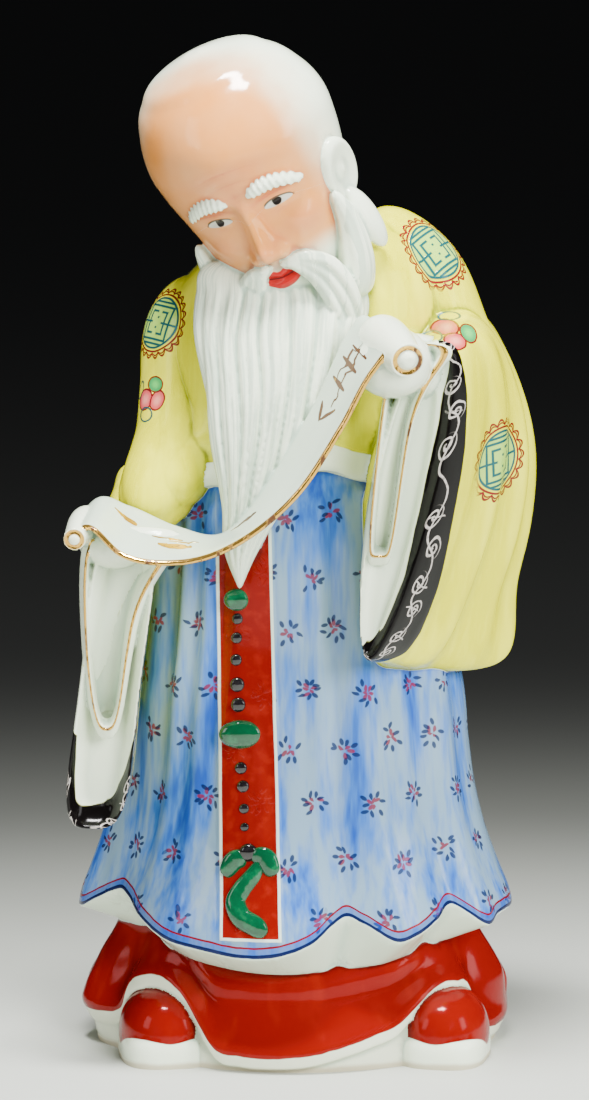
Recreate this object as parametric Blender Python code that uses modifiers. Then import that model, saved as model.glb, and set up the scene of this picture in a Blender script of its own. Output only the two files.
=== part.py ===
"""Glazed porcelain figure of a standing old man with a tall domed head and a long beard.

He holds an open scroll across his front in sleeve-covered hands, over a pleated skirt, a lower
skirt and two shoes. It is one cast piece, so every form below is fused into one closed body.
Metres, +Z up, facing -Y, with the origin on the floor under the middle of the foot.
"""

import math

import bmesh
import bpy
import numpy as np
from mathutils import Euler, Matrix, Vector

# Driving sizes, in metres
HEIGHT = 0.400
SCROLL_THICKNESS = 0.0030
SLEEVE_WALL = 0.0032
APRON_RELIEF = 0.0008
VENT_RADIUS = 0.0090
VENT_DEPTH = 0.0120
CLAY_GRAIN = 0.0014
FACETS = 9500

# The figure's proportions are counted in 400ths of its height, from here on called units
UNIT = HEIGHT / 400
TURN = 2 * math.pi

# Head: centre of the skull, and how the head nods, leans and turns, in degrees
SKULL_CENTRE = (-21.5, -30.0, 361.8)
HEAD_NOD, HEAD_LEAN, HEAD_TURN = 18.0, -21.0, -17.0

# Apron panel on the skirt, and the line that the folds keep clear of
APRON_X, APRON_HALF_WIDTH = -19.5, 10.6
APRON_BOTTOM, APRON_TOP = 55.0, 232.0


def through(stops, at):
    """A smooth line through (place, value) stops, read at the given places."""
    place = np.array([stop[0] for stop in stops], float)
    value = np.array([stop[1] for stop in stops], float)
    slope = np.gradient(value, place, axis=0)
    at = np.clip(np.asarray(at, float), place[0], place[-1])
    left = np.clip(np.searchsorted(place, at) - 1, 0, len(place) - 2)
    span = place[left + 1] - place[left]
    t = (at - place[left]) / span
    if value.ndim > 1:
        t, span = t[:, None], span[:, None]
    return (
        value[left] * (2 * t**3 - 3 * t**2 + 1)
        + value[left + 1] * (3 * t**2 - 2 * t**3)
        + slope[left] * span * (t**3 - 2 * t**2 + t)
        + slope[left + 1] * span * (t**3 - t**2)
    )


def hump(distance, width):
    """A soft bump of height 1 where distance is 0, gone at about twice the width."""
    return np.exp(-((distance / width) ** 2))


def ease(low, high, at):
    """0 below low, 1 above high, and a smooth rise between."""
    t = np.clip((at - low) / (high - low), 0, 1)
    return t * t * (3 - 2 * t)


def apart(angle, centre):
    """Signed angle from a direction given in degrees, in degrees."""
    return (np.degrees(angle) - centre + 180) % 360 - 180


def form(name, place, columns=96, rows=64):
    """A closed form: a sphere whose points go where place(angle, share) says.

    angle runs round the form from the front towards +X, and share from its first pole to its last.
    """
    mesh = bmesh.new()
    bmesh.ops.create_uvsphere(mesh, u_segments=columns, v_segments=rows, radius=1)
    data = bpy.data.meshes.new(name)
    mesh.to_mesh(data)
    mesh.free()
    ball = np.empty(len(data.vertices) * 3)
    data.vertices.foreach_get("co", ball)
    ball = ball.reshape(-1, 3)
    angle = np.arctan2(ball[:, 0], -ball[:, 1])
    share = 1 - np.arccos(np.clip(ball[:, 2], -1, 1)) / math.pi
    points = np.column_stack(place(angle, share)) * UNIT
    data.vertices.foreach_set("co", points.ravel())
    data.update()
    made = bpy.data.objects.new(name, data)
    bpy.context.collection.objects.link(made)
    return made


def ball(name, centre, radii, turn=(0, 0, 0)):
    """An ellipsoid, in units, turned by degrees about X, Y and Z."""
    rotation = np.array(Euler([math.radians(a) for a in turn]).to_matrix())

    def place(angle, share):
        around = np.sin(share * math.pi)
        points = np.column_stack(
            (
                radii[0] * around * np.sin(angle),
                -radii[1] * around * np.cos(angle),
                -radii[2] * np.cos(share * math.pi),
            )
        )
        return (points @ rotation.T + centre).T

    return form(name, place, 48, 32)


def limb(name, stops, columns=64, rows=48):
    """A round-ended tube through stops of (share, (x, y, z, radius)), all in units."""

    def place(angle, share):
        line = through(stops, share)
        ahead = through(stops, np.clip(share + 0.01, 0, 1))[:, :3]
        behind = through(stops, np.clip(share - 0.01, 0, 1))[:, :3]
        along = ahead - behind
        along /= np.linalg.norm(along, axis=1)[:, None] + 1e-9
        side = np.cross(along, (0.0, 1.0, 0.0))
        side /= np.linalg.norm(side, axis=1)[:, None] + 1e-9
        other = np.cross(side, along)
        rounded = np.sqrt(np.clip(1 - (2 * share - 1) ** 8, 0, 1))[:, None]
        radius = line[:, 3:4] * rounded
        ring = np.sin(angle)[:, None] * side + np.cos(angle)[:, None] * other
        return (line[:, :3] + radius * ring).T

    return form(name, place, columns, rows)


# Height of the upper skirt's hem round the figure, as (degrees from the front, units). Where the
# cloth folds outward its hem hangs low, and where it folds inward the hem lifts.
SKIRT_HEM = (
    (-90, 58.5), (-80, 61), (-68, 66), (-57, 71), (-45, 64), (-30, 53.5), (-10, 50), (4, 53.5),
    (14, 64.5), (22, 60), (31, 54.5), (39, 60), (46.5, 69.5), (52, 63), (58, 57), (68, 58.5),
    (80, 60), (93, 58), (110, 66), (131, 55), (152, 65), (172, 54.5), (195, 65), (216, 55),
    (237, 64), (252, 58), (270, 58.5),
)
HEM_LEVEL = 58.5

# Folds higher up, as (degrees from the front, half width, how far out), in degrees and units
WAIST_FOLDS = (
    (-92, 16, 2.2), (-64, 6, 1.0), (-53, 4, -1.6), (-41, 4, -1.5), (-29, 4, -1.3), (-8, 12, 0.6),
    (14, 4, -1.9), (24, 5, 0.9), (33, 4, -0.9), (46, 5, -1.5), (60, 6, 0.8), (72, 5, -1.1),
    (92, 9, 0.8), (110, 7, -1.6), (131, 9, 1.2), (152, 7, -1.8), (172, 9, 1.2), (195, 7, -1.8),
    (216, 9, 1.0), (237, 7, -1.5),
)


def skirt_hem(angle):
    """Height of the hem at each angle round the figure."""
    return through(SKIRT_HEM, (np.degrees(angle) + 90) % 360 - 90)


def skirt_fold(angle, rise):
    """How far the skirt's cloth stands out, with rise 0 at the hem and 1 at the waist."""
    low = 0.62 * (HEM_LEVEL - skirt_hem(angle))
    high = np.zeros_like(angle)
    for centre, width, out in WAIST_FOLDS:
        high += out * hump(apart(angle, centre), width)
    weight = np.clip(1 - 1.6 * rise, 0, 1) ** 1.4
    return low * weight + high * (1 - weight) * ease(1.05, 0.75, rise)


def skirt(angle, share):
    """The pleated upper skirt, with the thick edge that runs in under its hem."""
    turned_in = np.clip((0.16 - share) / 0.12, 0, 1)
    rise = np.clip((share - 0.16) / 0.80, 0, 1)
    closing = np.clip((1 - share) / 0.04, 0, 1) * np.clip(share / 0.04, 0, 1)
    fold = skirt_fold(angle, rise)
    hem = skirt_hem(angle)
    level = hem + (238 - hem) * rise
    half_width = through(
        ((46, 84.5), (58, 83), (70, 78.5), (84, 73.5), (100, 69.5), (118, 67), (137, 65.5),
         (165, 61.5), (200, 58.5), (222, 56), (240, 52)), level)
    front = through(
        ((46, 67), (60, 64.5), (82, 58.5), (110, 54.5), (137, 52.5), (170, 50), (196, 50),
         (214, 48.5), (228, 44), (240, 40)), level)
    back = through(((46, 62), (60, 60), (82, 55), (137, 50), (200, 46), (240, 40)), level)
    half_depth = np.where(np.cos(angle) > 0, front, back)
    inward = 1 - 0.20 * turned_in
    x = (half_width + fold) * np.sin(angle) * inward * closing
    y = -(half_depth + fold) * np.cos(angle) * inward * closing
    low = 38 + 7 * np.sin(angle) ** 2
    z = level + turned_in * (low - level)
    panel = ease(1.0, 0.0, np.abs(x - APRON_X) - APRON_HALF_WIDTH) * (np.cos(angle) > 0)
    panel *= ease(APRON_BOTTOM - 0.5, APRON_BOTTOM + 0.5, z)
    y = y - panel * APRON_RELIEF / UNIT
    return x, y, z


# Lower skirt: lobes and hollows as (angle, half-width, how far out at the floor)
LOWER_FOLDS = (
    (-84, 10, 4.5), (-64, 8, -4.5), (-2, 26, 1.5), (66, 8, -4.0), (88, 9, 3.5),
    (112, 10, -3.0), (135, 12, 2.5), (160, 12, -2.5), (182, 13, 2.0), (205, 12, -2.5),
    (228, 12, 2.5), (250, 10, -3.0),
)

# Its lower edge at the front, as (x, height): it arches over each shoe and sags between them
LOWER_EDGE = (
    (-84, 13), (-77, 13), (-71.4, 17), (-68, 25), (-60.5, 31), (-50, 31), (-42.5, 25), (-37.5, 16.5),
    (-32.5, 9), (-22, 6), (-9, 5.5), (4, 6.5), (16.5, 9.5), (29, 13), (40, 17), (46, 22.5),
    (52.5, 28), (61, 29), (69, 24), (73, 11), (84, 8),
)
EDGE_BAND = 3.8
EDGE_STEP = 3.4


def lower_skirt(angle, share):
    """The red lower skirt, with the plinth that shows under its edge."""
    closing = np.clip((1 - share) / 0.05, 0, 1) * np.clip(share / 0.05, 0, 1)
    level = -4 + 66 * np.clip((share - 0.05) / 0.90, 0, 1)
    half_width = through(((-4, 78), (4, 79), (12, 80), (23, 80.5), (34, 75.5), (46, 69.5), (62, 66)), level)
    front = through(((-4, 59), (6, 59), (14, 57.5), (26, 53), (40, 49.5), (62, 48)), level)
    back = through(((-4, 57), (12, 57), (30, 52), (46, 48), (62, 46)), level)
    facing = np.cos(angle)
    half_depth = np.where(facing > 0, front, back)
    fold = np.zeros_like(angle)
    for centre, width, out in LOWER_FOLDS:
        fold += out * hump(apart(angle, centre), width)
    fold *= through(((-4, 0.35), (6, 0.55), (24, 1.0), (46, 0.55), (62, 0.3)), level)
    # The cloth ends at its edge, and the plinth below stands a little further in
    front_edge = through(LOWER_EDGE, half_width * np.sin(angle))
    back_edge = 9 + 3 * np.sin(5 * angle)
    edge = back_edge + (front_edge - back_edge) * ease(-0.25, 0.1, facing)
    step = EDGE_STEP * (0.35 + 0.65 * ease(0.35, 0.6, facing))
    fold -= step * ease(edge - EDGE_BAND + 0.8, edge - EDGE_BAND - 1.4, level)
    fold += 1.6 * hump(level - edge - 3, 4) - 1.4 * hump(level - edge - 14, 7) * (facing > 0)
    x = (half_width + fold) * np.sin(angle) * closing
    y = -(half_depth + fold) * facing * closing
    return x, y, level


def shoe(name, centre_x, front_y, toe_out, half_width):
    """A rounded toe on a thick sole, pointing forward and a little outward."""
    turn = math.radians(toe_out)

    def shifted(x, y, z):
        return (
            centre_x + x * math.cos(turn) - y * math.sin(turn),
            front_y + 22 + x * math.sin(turn) + y * math.cos(turn),
            z,
        )

    def sole(angle, share):
        around = np.sin(share * math.pi) ** 0.2
        sine, cosine = np.sin(angle), np.cos(angle)
        x = half_width * np.sign(sine) * np.abs(sine) ** 0.7 * around
        y = -22 * np.sign(cosine) * np.abs(cosine) ** 0.62 * around
        height = -np.cos(share * math.pi)
        z = 4.5 + 8.4 * np.sign(height) * np.abs(height) ** 0.6
        return shifted(x, y, z)

    def toe(angle, share):
        around = np.sin(share * math.pi) ** 0.8
        x = (half_width - 1.5) * np.sin(angle) * around
        y = -20 * np.cos(angle) * around
        z = 12.0 - 17.5 * np.cos(share * math.pi)
        return shifted(x, y, z)

    return [form(name + "_sole", sole, 64, 32), form(name + "_toe", toe, 48, 32)]


def robe(angle, share):
    """The short robe: chest, sloping shoulders and rounded back, leaning to the figure's right."""
    closing = np.clip(share / 0.06, 0, 1)
    rise = np.clip((share - 0.06) / 0.94, 0, 1)
    half_width = through(
        ((0, 57), (0.12, 60), (0.35, 58), (0.6, 57), (0.78, 50), (0.9, 37), (0.97, 21), (1, 0)), rise)
    front = through(((0, 44), (0.12, 50), (0.35, 47), (0.7, 42), (0.88, 32), (0.97, 16), (1, 0)), rise)
    back = through(((0, 46), (0.12, 49), (0.4, 46), (0.7, 44), (0.88, 33), (0.97, 17), (1, 0)), rise)
    half_depth = np.where(np.cos(angle) > 0, front, back)
    edge = 232 + 4 * np.sin(3 * angle + 0.6) + 2 * np.sin(7 * angle + 1.0) - 8 * hump(apart(angle, 180), 60)
    level = edge + (329 - edge) * rise - 5 * (1 - closing)
    x = half_width * np.sin(angle) * closing
    y = -half_depth * np.cos(angle) * closing
    folds = 0.9 * np.sin(13 * angle) * hump(rise - 0.15, 0.25) * (1 - rise)
    x, y = x * (1 + folds / 60), y * (1 + folds / 60)
    return x + 5 * rise, y - 3 * rise, level + 0.17 * rise * x


# Sleeves, from deep inside the opening, over its edge and back to the elbow, as stops of
# (share, (x, y, z, half width, half height, lean)). Lean moves the foot towards -X.
RIGHT_SLEEVE = (
    (0.00, (42, -42, 228, 0, 0, 0.17)),
    (0.08, (41, -44, 227, 5.5, 42, 0.18)),
    (0.18, (39.5, -56, 226, 8.8, 53, 0.20)),
    (0.27, (39.5, -66, 226, 11.6, 58.5, 0.22)),
    (0.31, (40.5, -68.5, 226, 13.8, 60.5, 0.22)),
    (0.36, (42, -66, 226, 17.0, 62, 0.22)),
    (0.48, (47, -53, 225, 23.5, 64.5, 0.19)),
    (0.62, (55, -32, 223, 29.5, 66.5, 0.13)),
    (0.76, (62.5, -8, 224, 31.0, 64, 0.06)),
    (0.88, (64, 12, 232, 25.5, 52, 0.02)),
    (0.96, (62, 24, 240, 14.0, 30, 0.00)),
    (1.00, (60, 28, 244, 0, 0, 0.00)),
)
LEFT_SLEEVE = (
    (0.00, (-72, -42, 158, 0, 0, 0.07)),
    (0.08, (-72, -44, 157, 5.5, 38, 0.07)),
    (0.18, (-72, -56, 154, 8.5, 47, 0.08)),
    (0.27, (-72, -65, 152, 10.6, 50.5, 0.09)),
    (0.31, (-72.5, -67, 152, 12.2, 52, 0.09)),
    (0.36, (-73, -64.5, 152, 14.0, 53.5, 0.09)),
    (0.48, (-73.5, -52, 154, 16.0, 55, 0.09)),
    (0.62, (-71, -34, 162, 17.5, 55, 0.06)),
    (0.78, (-65, -12, 178, 17.0, 48, 0.02)),
    (0.90, (-60, 4, 195, 15.0, 36, 0.00)),
    (0.97, (-57, 12, 205, 9.0, 20, 0.00)),
    (1.00, (-56, 15, 208, 0, 0, 0.00)),
)


def sleeve(stops, folds, fold_depth, fullness):
    """A wide hanging sleeve. Its folds run down its sides and deepen towards the bottom.

    fullness is how wide it stays at the bottom: 0 draws it in to a point and 1 leaves it round.
    """

    def place(angle, share):
        centre_x, centre_y, centre_z, half_width, half_height, lean = through(stops, share).T
        # The wall is thicker or thinner as the sleeve's inside moves in or out
        wall = (SLEEVE_WALL / UNIT - 3.2) * ease(0.31, 0.10, share)
        half_width = np.clip(half_width - wall * (half_width > 0), 0, None)
        down = 0.5 - 0.5 * np.cos(angle)
        pleat = fold_depth * np.cos(TURN * folds * share) * ease(0.42, 0.55, share)
        pleat *= ease(0.99, 0.9, share) * (0.25 + 0.75 * down)
        drawn_in = 1 - (1 - fullness) * 0.62 * down**2 * ease(0.75, 0.45, share)
        wide = half_width * (0.88 + 0.14 * down) * drawn_in + pleat * (half_width > 4)
        squared = fullness + (1 - fullness) * ease(0.36, 0.6, share)
        sine = np.sin(angle)
        x = wide * np.sign(sine) * np.abs(sine) ** (1 - 0.42 * squared * down)
        z = half_height * np.cos(angle)
        return centre_x + x + lean * z, centre_y + 0 * x, centre_z + z

    return place


def beard(angle, share):
    """The long beard: locks run from the cheeks and chin down to one point."""
    line = through(
        # share, (x, y of the front, z, half width, half depth)
        ((0.00, (-9, -40, 319, 14, 6)), (0.06, (-8, -44, 312, 28, 9)), (0.14, (-6, -51, 303, 32.5, 12)),
         (0.24, (-6.5, -59, 290, 33, 14)), (0.38, (-7, -65, 270, 29, 14)), (0.56, (-10, -67, 246, 23, 12)),
         (0.74, (-15, -65, 221, 15, 10)), (0.90, (-19.5, -60, 200, 7.5, 7)), (1.00, (-21, -55, 186, 0.5, 0.5))),
        share)
    centre_x, front_y, centre_z, half_width, half_depth = line.T
    closing = np.clip(share / 0.04, 0, 1)
    across = np.sin(angle)
    wave = 0.35 * np.sin(9 * share + 2.0 * across) + 0.2 * np.sin(23 * share)
    locks = 1.2 * np.cos(30 * across * (1 - 0.35 * share) + wave * 3)
    locks *= ease(0.1, 0.25, share) * ease(1.0, 0.85, share) * (np.cos(angle) > 0)
    x = centre_x + half_width * np.sign(across) * np.abs(across) ** 0.9 * closing
    y = front_y + half_depth - (half_depth + locks) * np.cos(angle) * closing
    return x, y, centre_z + 0 * x


# The scroll: its front and back edges as they hang from hand to hand, right to left
SCROLL_FRONT = (
    (0.00, (41, -90, 279)), (0.06, (37, -90, 287.5)), (0.14, (29, -89, 279)), (0.28, (17, -88, 257)),
    (0.42, (1, -88, 232.5)), (0.58, (-22, -88, 213)), (0.74, (-45, -87, 204.5)),
    (0.88, (-68, -83, 207)), (0.97, (-83, -76, 215)), (1.00, (-87, -73, 212)),
)
SCROLL_BACK = (
    (0.00, (30, -62, 286)), (0.06, (26, -60, 296)), (0.14, (20, -62, 291)), (0.28, (7, -66, 264)),
    (0.42, (-9, -66, 236)), (0.58, (-27, -62, 213)), (0.74, (-46, -54, 214)),
    (0.88, (-66, -47, 221)), (0.97, (-80, -45, 221)), (1.00, (-84, -46, 215)),
)


def scroll(angle, share):
    """The open sheet of the scroll, a thin band with soft edges."""
    front = through(SCROLL_FRONT, share)
    back = through(SCROLL_BACK, share)
    ahead = through(SCROLL_FRONT, share + 0.01) + through(SCROLL_BACK, share + 0.01)
    behind = through(SCROLL_FRONT, share - 0.01) + through(SCROLL_BACK, share - 0.01)
    along = ahead - behind
    across = (front - back) / 2
    upright = np.cross(along, across)
    upright /= np.linalg.norm(upright, axis=1)[:, None] + 1e-9
    ends = np.clip(np.minimum(share, 1 - share) / 0.012, 0, 1) ** 0.5
    cosine, sine = np.cos(angle), np.sin(angle)
    flat = np.sign(cosine) * np.abs(cosine) ** 0.35 * ends
    thick = SCROLL_THICKNESS / UNIT / 2 * np.sign(sine) * np.abs(sine) ** 0.7 * ends
    points = (front + back) / 2 + across * flat[:, None] + upright * thick[:, None]
    return points.T


def rod(name, start, end, radius, columns=40):
    """A straight round bar with flat ends, in units."""
    start, end = np.array(start, float), np.array(end, float)
    along = (end - start) / np.linalg.norm(end - start)
    side = np.cross(along, (0, 0, 1.0))
    side /= np.linalg.norm(side)
    other = np.cross(side, along)

    def place(angle, share):
        reach = np.clip((share - 0.2) / 0.6, 0, 1)
        closing = np.clip(np.minimum(share, 1 - share) / 0.2, 0, 1)
        ring = np.sin(angle)[:, None] * side + np.cos(angle)[:, None] * other
        return (start + reach[:, None] * (end - start) + (radius * closing)[:, None] * ring).T

    return form(name, place, columns, 20)


def head_frame():
    """The head's own frame: X to its left, -Y out of the face and Z to the crown, in units."""
    spin = Euler([math.radians(a) for a in (HEAD_NOD, HEAD_LEAN, HEAD_TURN)], "XYZ")
    return np.array(spin.to_matrix()), np.array(SKULL_CENTRE)


# Head from its chin to its crown, in its own frame: level, half width, front and back
HEAD_STOPS = (
    (-66, (3, 22, 4)), (-62, (14, 27, 8)), (-54, (23.5, 30.5, 13)), (-44, (28, 32, 19)),
    (-32, (31, 33, 27)), (-20, (34, 35, 33)), (-8, (36.5, 38.5, 36.5)), (4, (37.5, 40.5, 38)),
    (16, (34.5, 37.5, 35.5)), (27, (27, 28.5, 28)), (34, (17, 18, 18)), (38, (3, 3, 3)),
)


def face_relief(x, z):
    """How far the face stands out from the plain head, at x to its left and z up."""
    side = np.abs(x)
    nose = through(
        ((-43, 0), (-40.5, 1.6), (-38.5, 7.0), (-35, 9.2), (-30, 7.0), (-23, 4.2), (-16, 2.4), (-10, 0)), z)
    nose_width = through(((-43, 4.8), (-36, 4.6), (-28, 3.4), (-18, 3.0), (-10, 3.4)), z)
    out = nose * hump(x, nose_width)
    out += 4.2 * hump(side - 5.6, 2.6) * hump(z + 37.5, 2.8)
    out += 2.6 * hump(side - 13 - 0.1 * z, 8.5) * hump(z + 10.5 + 0.012 * (side - 12) ** 2, 2.8)
    out -= 3.4 * hump(side - 12, 7.0) * hump(z + 18.5, 4.2)
    out += 2.6 * hump(side - 12, 5.2) * hump(z + 19, 3.0)
    out += 2.6 * hump(side - 17, 7.5) * hump(z + 31, 6.5)
    lip = z + 48 - 0.022 * x**2
    out += 1.9 * hump(x, 8.0) * (hump(lip - 1.9, 1.7) + 1.2 * hump(lip + 2.3, 1.8))
    out += 1.6 * hump(x, 13) * hump(z - 4, 12)
    return out


def head(angle, share):
    """The head from under the chin to the crown, in the frame of the whole figure."""
    rotation, origin = head_frame()
    level = -66 + 52 * (1 - np.cos(share * math.pi))
    width, front, back = through(HEAD_STOPS, level).T
    ends = np.clip(np.minimum(share, 1 - share) / 0.02, 0, 1)
    facing = np.cos(angle)
    x = width * np.sin(angle) * ends
    y = -np.where(facing > 0, front, back) * facing * ends
    y = y - face_relief(x, level) * ease(0.1, 0.6, facing)
    points = np.column_stack((x, y, level))
    return (points @ rotation.T + origin).T


def head_ball(name, centre, radii, turn=(0, 0, 0)):
    """An ellipsoid placed in the head's own frame."""
    rotation, origin = head_frame()
    own = np.array(Euler([math.radians(a) for a in turn]).to_matrix())

    def place(angle, share):
        around = np.sin(share * math.pi)
        points = np.column_stack(
            (
                radii[0] * around * np.sin(angle),
                -radii[1] * around * np.cos(angle),
                -radii[2] * np.cos(share * math.pi),
            )
        )
        return ((points @ own.T + centre) @ rotation.T + origin).T

    return form(name, place, 64, 48)


def head_limb(name, stops, columns=24, rows=32):
    """A tube placed in the head's own frame."""
    rotation, origin = head_frame()
    turned = [(share, (*(rotation @ np.array(p[:3]) + origin), p[3])) for share, p in stops]
    return limb(name, turned, columns, rows)


def head_forms():
    """The head, its long-lobed ears, the moustache and the beard along the jaw."""
    forms = [form("head", head, 160, 128)]
    for side in (-1, 1):
        forms += [
            head_ball("ear", (side * 35.2, 3, -26), (3.6, 9.5, 14.5), (12, side * 3, side * 20)),
            head_ball("ear_lobe", (side * 33.8, -2, -46), (3.6, 6.0, 15.0), (14, side * -2, side * 14)),
            head_limb(
                "moustache",
                ((0.0, (side * 1.5, -34.5, -42.5, 2.2)), (0.22, (side * 8, -33.5, -43.5, 3.2)),
                 (0.5, (side * 14.5, -30.5, -51, 3.6)), (0.75, (side * 16.5, -31, -62, 3.4)),
                 (1.0, (side * 15, -33, -76, 1.6)))),
            head_limb(
                "jaw_beard",
                ((0.0, (side * 33.5, -5, -24, 2.6)), (0.35, (side * 31.5, -9, -40, 4.6)),
                 (0.7, (side * 26, -15, -56, 7.0)), (1.0, (side * 18, -20, -70, 8.0)))),
        ]
    return forms


def figure_forms():
    """Every form of the figure, overlapping where the cast piece runs from one to the next."""
    forms = [
        form("lower_skirt", lower_skirt, 160, 48),
        form("skirt", skirt, 240, 96),
        form("robe", robe, 144, 64),
        form("right_sleeve", sleeve(RIGHT_SLEEVE, 10, 2.0, 0.25), 96, 96),
        form("left_sleeve", sleeve(LEFT_SLEEVE, 9, 1.2, 1.0), 96, 96),
        limb("right_arm", ((0, (34, -2, 308, 16)), (0.35, (50, -2, 290, 21)), (0.7, (62, -4, 256, 25)),
                           (1, (63, -8, 230, 24)))),
        limb("left_arm", ((0, (-24, -4, 296, 14)), (0.35, (-39, -4, 282, 18)), (0.7, (-46, -8, 246, 19.5)),
                          (1, (-53, -16, 222, 20)))),
        limb("left_forearm", ((0, (-48, -8, 232, 18)), (0.5, (-59, -32, 221, 16.5)),
                              (1, (-68, -52, 211, 13)))),
        limb("right_forearm", ((0, (64, -12, 252, 22)), (0.5, (52, -44, 268, 19)),
                               (1, (40, -66, 272, 14)))),
        ball("right_hand", (37, -70, 275), (15, 17, 15.5)),
        ball("left_hand", (-70, -55, 208), (13.5, 19, 9.5)),
        form("beard", beard, 160, 96),
        form("scroll", scroll, 48, 160),
        rod("right_roll", (41.5, -91, 284), (30, -62, 290), 6.6),
        rod("left_roll", (-88, -76, 210), (-84, -48, 214), 3.6),
        *shoe("left_shoe", -53, -50, 9, 17.0),
        *shoe("right_shoe", 59.5, -53, -14, 16.5),
        *head_forms(),
    ]
    return forms


def fused(forms, name):
    """All forms as one skin, softened as a cast and glazed piece is."""
    bpy.ops.object.select_all(action="DESELECT")
    for piece in forms:
        piece.select_set(True)
    body = forms[0]
    bpy.context.view_layer.objects.active = body
    bpy.ops.object.join()
    body.name = name
    remesh = body.modifiers.new("clay", "REMESH")
    remesh.mode = "VOXEL"
    remesh.voxel_size = CLAY_GRAIN
    soften = body.modifiers.new("glaze", "SMOOTH")
    soften.factor, soften.iterations = 0.5, 2
    baked = bpy.data.meshes.new_from_object(body.evaluated_get(bpy.context.evaluated_depsgraph_get()))
    body.modifiers.clear()
    body.data = baked
    keep_outer_shell(body.data)
    return body


def keep_outer_shell(data):
    """Leaves the one outer skin, without the shells of pockets closed up inside it."""
    mesh = bmesh.new()
    mesh.from_mesh(data)
    mesh.verts.ensure_lookup_table()
    seen = set()
    shells = []
    for start in mesh.verts:
        if start.index in seen:
            continue
        seen.add(start.index)
        shell, edge = [start], [start]
        while edge:
            near = [link.other_vert(vert) for vert in edge for link in vert.link_edges]
            edge = [vert for vert in set(near) if vert.index not in seen]
            seen.update(vert.index for vert in edge)
            shell += edge
        shells.append(shell)
    shells.sort(key=len)
    loose = [vert for shell in shells[:-1] for vert in shell]
    bmesh.ops.delete(mesh, geom=loose, context="VERTS")
    mesh.to_mesh(data)
    mesh.free()


def thinned(body, facets):
    """Fewer facets, most of them left where the surface curves."""
    mesh = body.data
    mesh.calc_loop_triangles()
    collapse = body.modifiers.new("facets", "DECIMATE")
    collapse.ratio = facets / len(mesh.loop_triangles)
    collapse.use_collapse_triangulate = True
    thin = bpy.data.meshes.new_from_object(body.evaluated_get(bpy.context.evaluated_depsgraph_get()))
    body.modifiers.clear()
    body.data = thin
    return body


def cut_level(body):
    """A flat underside at the floor, with its outline closed by one face."""
    mesh = bmesh.new()
    mesh.from_mesh(body.data)
    parts = mesh.verts[:] + mesh.edges[:] + mesh.faces[:]
    cut = bmesh.ops.bisect_plane(mesh, geom=parts, plane_co=(0, 0, 0), plane_no=(0, 0, 1), clear_inner=True)
    rim = [edge for edge in cut["geom_cut"] if isinstance(edge, bmesh.types.BMEdge)]
    bmesh.ops.contextual_create(mesh, geom=rim)
    bmesh.ops.triangulate(mesh, faces=[face for face in mesh.faces if len(face.verts) > 4])
    mesh.to_mesh(body.data)
    mesh.free()
    return body


def vent_cutter(collection):
    """The drill for the blind vent hole in the underside, behind the middle."""
    mesh = bmesh.new()
    bmesh.ops.create_cone(
        mesh, cap_ends=True, segments=32, radius1=VENT_RADIUS, radius2=VENT_RADIUS, depth=2 * VENT_DEPTH,
        matrix=Matrix.Translation(Vector((0, 18, 0)) * UNIT))
    data = bpy.data.meshes.new("vent_cutter")
    mesh.to_mesh(data)
    mesh.free()
    cutter = bpy.data.objects.new("vent_cutter", data)
    collection.objects.link(cutter)
    cutter.hide_render = True
    cutter.display_type = "WIRE"
    return cutter


def porcelain():
    """White glaze over a white body."""
    glaze = bpy.data.materials.new("glazed_porcelain")
    glaze.use_nodes = True
    shader = glaze.node_tree.nodes["Principled BSDF"]
    shader.inputs["Base Color"].default_value = (0.80, 0.82, 0.76, 1)
    shader.inputs["Roughness"].default_value = 0.12
    shader.inputs["Metallic"].default_value = 0.0
    return glaze


def main():
    for old in list(bpy.data.objects):
        bpy.data.objects.remove(old)
    scene = bpy.context.scene
    pieces = bpy.data.collections.new("old_man_with_scroll")
    cutters = bpy.data.collections.new("cutters")
    scene.collection.children.link(pieces)
    scene.collection.children.link(cutters)
    layer = bpy.context.view_layer.layer_collection
    bpy.context.view_layer.active_layer_collection = layer.children[pieces.name]
    body = fused(figure_forms(), "shoulao_figure")
    thinned(body, FACETS)
    cut_level(body)
    body.data.materials.clear()
    body.data.materials.append(porcelain())
    drill = body.modifiers.new("vent", "BOOLEAN")
    drill.operation = "DIFFERENCE"
    drill.object = vent_cutter(cutters)
    body.data.shade_smooth()


main()
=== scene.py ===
"""Looks for the porcelain figure of a standing old man with a scroll.

The figure is one glazed and painted body. The raised beads of enamel on its apron are a second piece,
and the stage holds the table top, the lamps and the camera. Lengths inside the forms are in units,
and one unit is a 400th of the figure's height. Right and left are as seen from the front, so right is
towards +X, except where a comment says whose they are.
"""

import math
from collections import namedtuple
from contextlib import contextmanager

import bmesh
import bpy
import numpy as np
from bpy.props import FloatProperty, IntProperty, PointerProperty
from mathutils import Euler, Matrix, Vector
from mathutils.bvhtree import BVHTree
from mathutils.kdtree import KDTree


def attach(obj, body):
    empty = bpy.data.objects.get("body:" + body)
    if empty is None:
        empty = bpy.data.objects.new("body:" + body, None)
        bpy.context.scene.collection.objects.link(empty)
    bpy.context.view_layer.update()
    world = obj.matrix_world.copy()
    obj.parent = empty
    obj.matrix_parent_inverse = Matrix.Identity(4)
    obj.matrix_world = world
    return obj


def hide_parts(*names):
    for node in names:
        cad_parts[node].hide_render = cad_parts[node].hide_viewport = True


bl_info = {
    "name": "Porcelain Old Man",
    "version": (1, 0, 0),
    "blender": (4, 5, 0),
    "location": "3D View > Sidebar > Porcelain",
    "description": "Builds the glazed figure, its raised enamel and the stage it stands on",
    "category": "Object",
}

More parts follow.
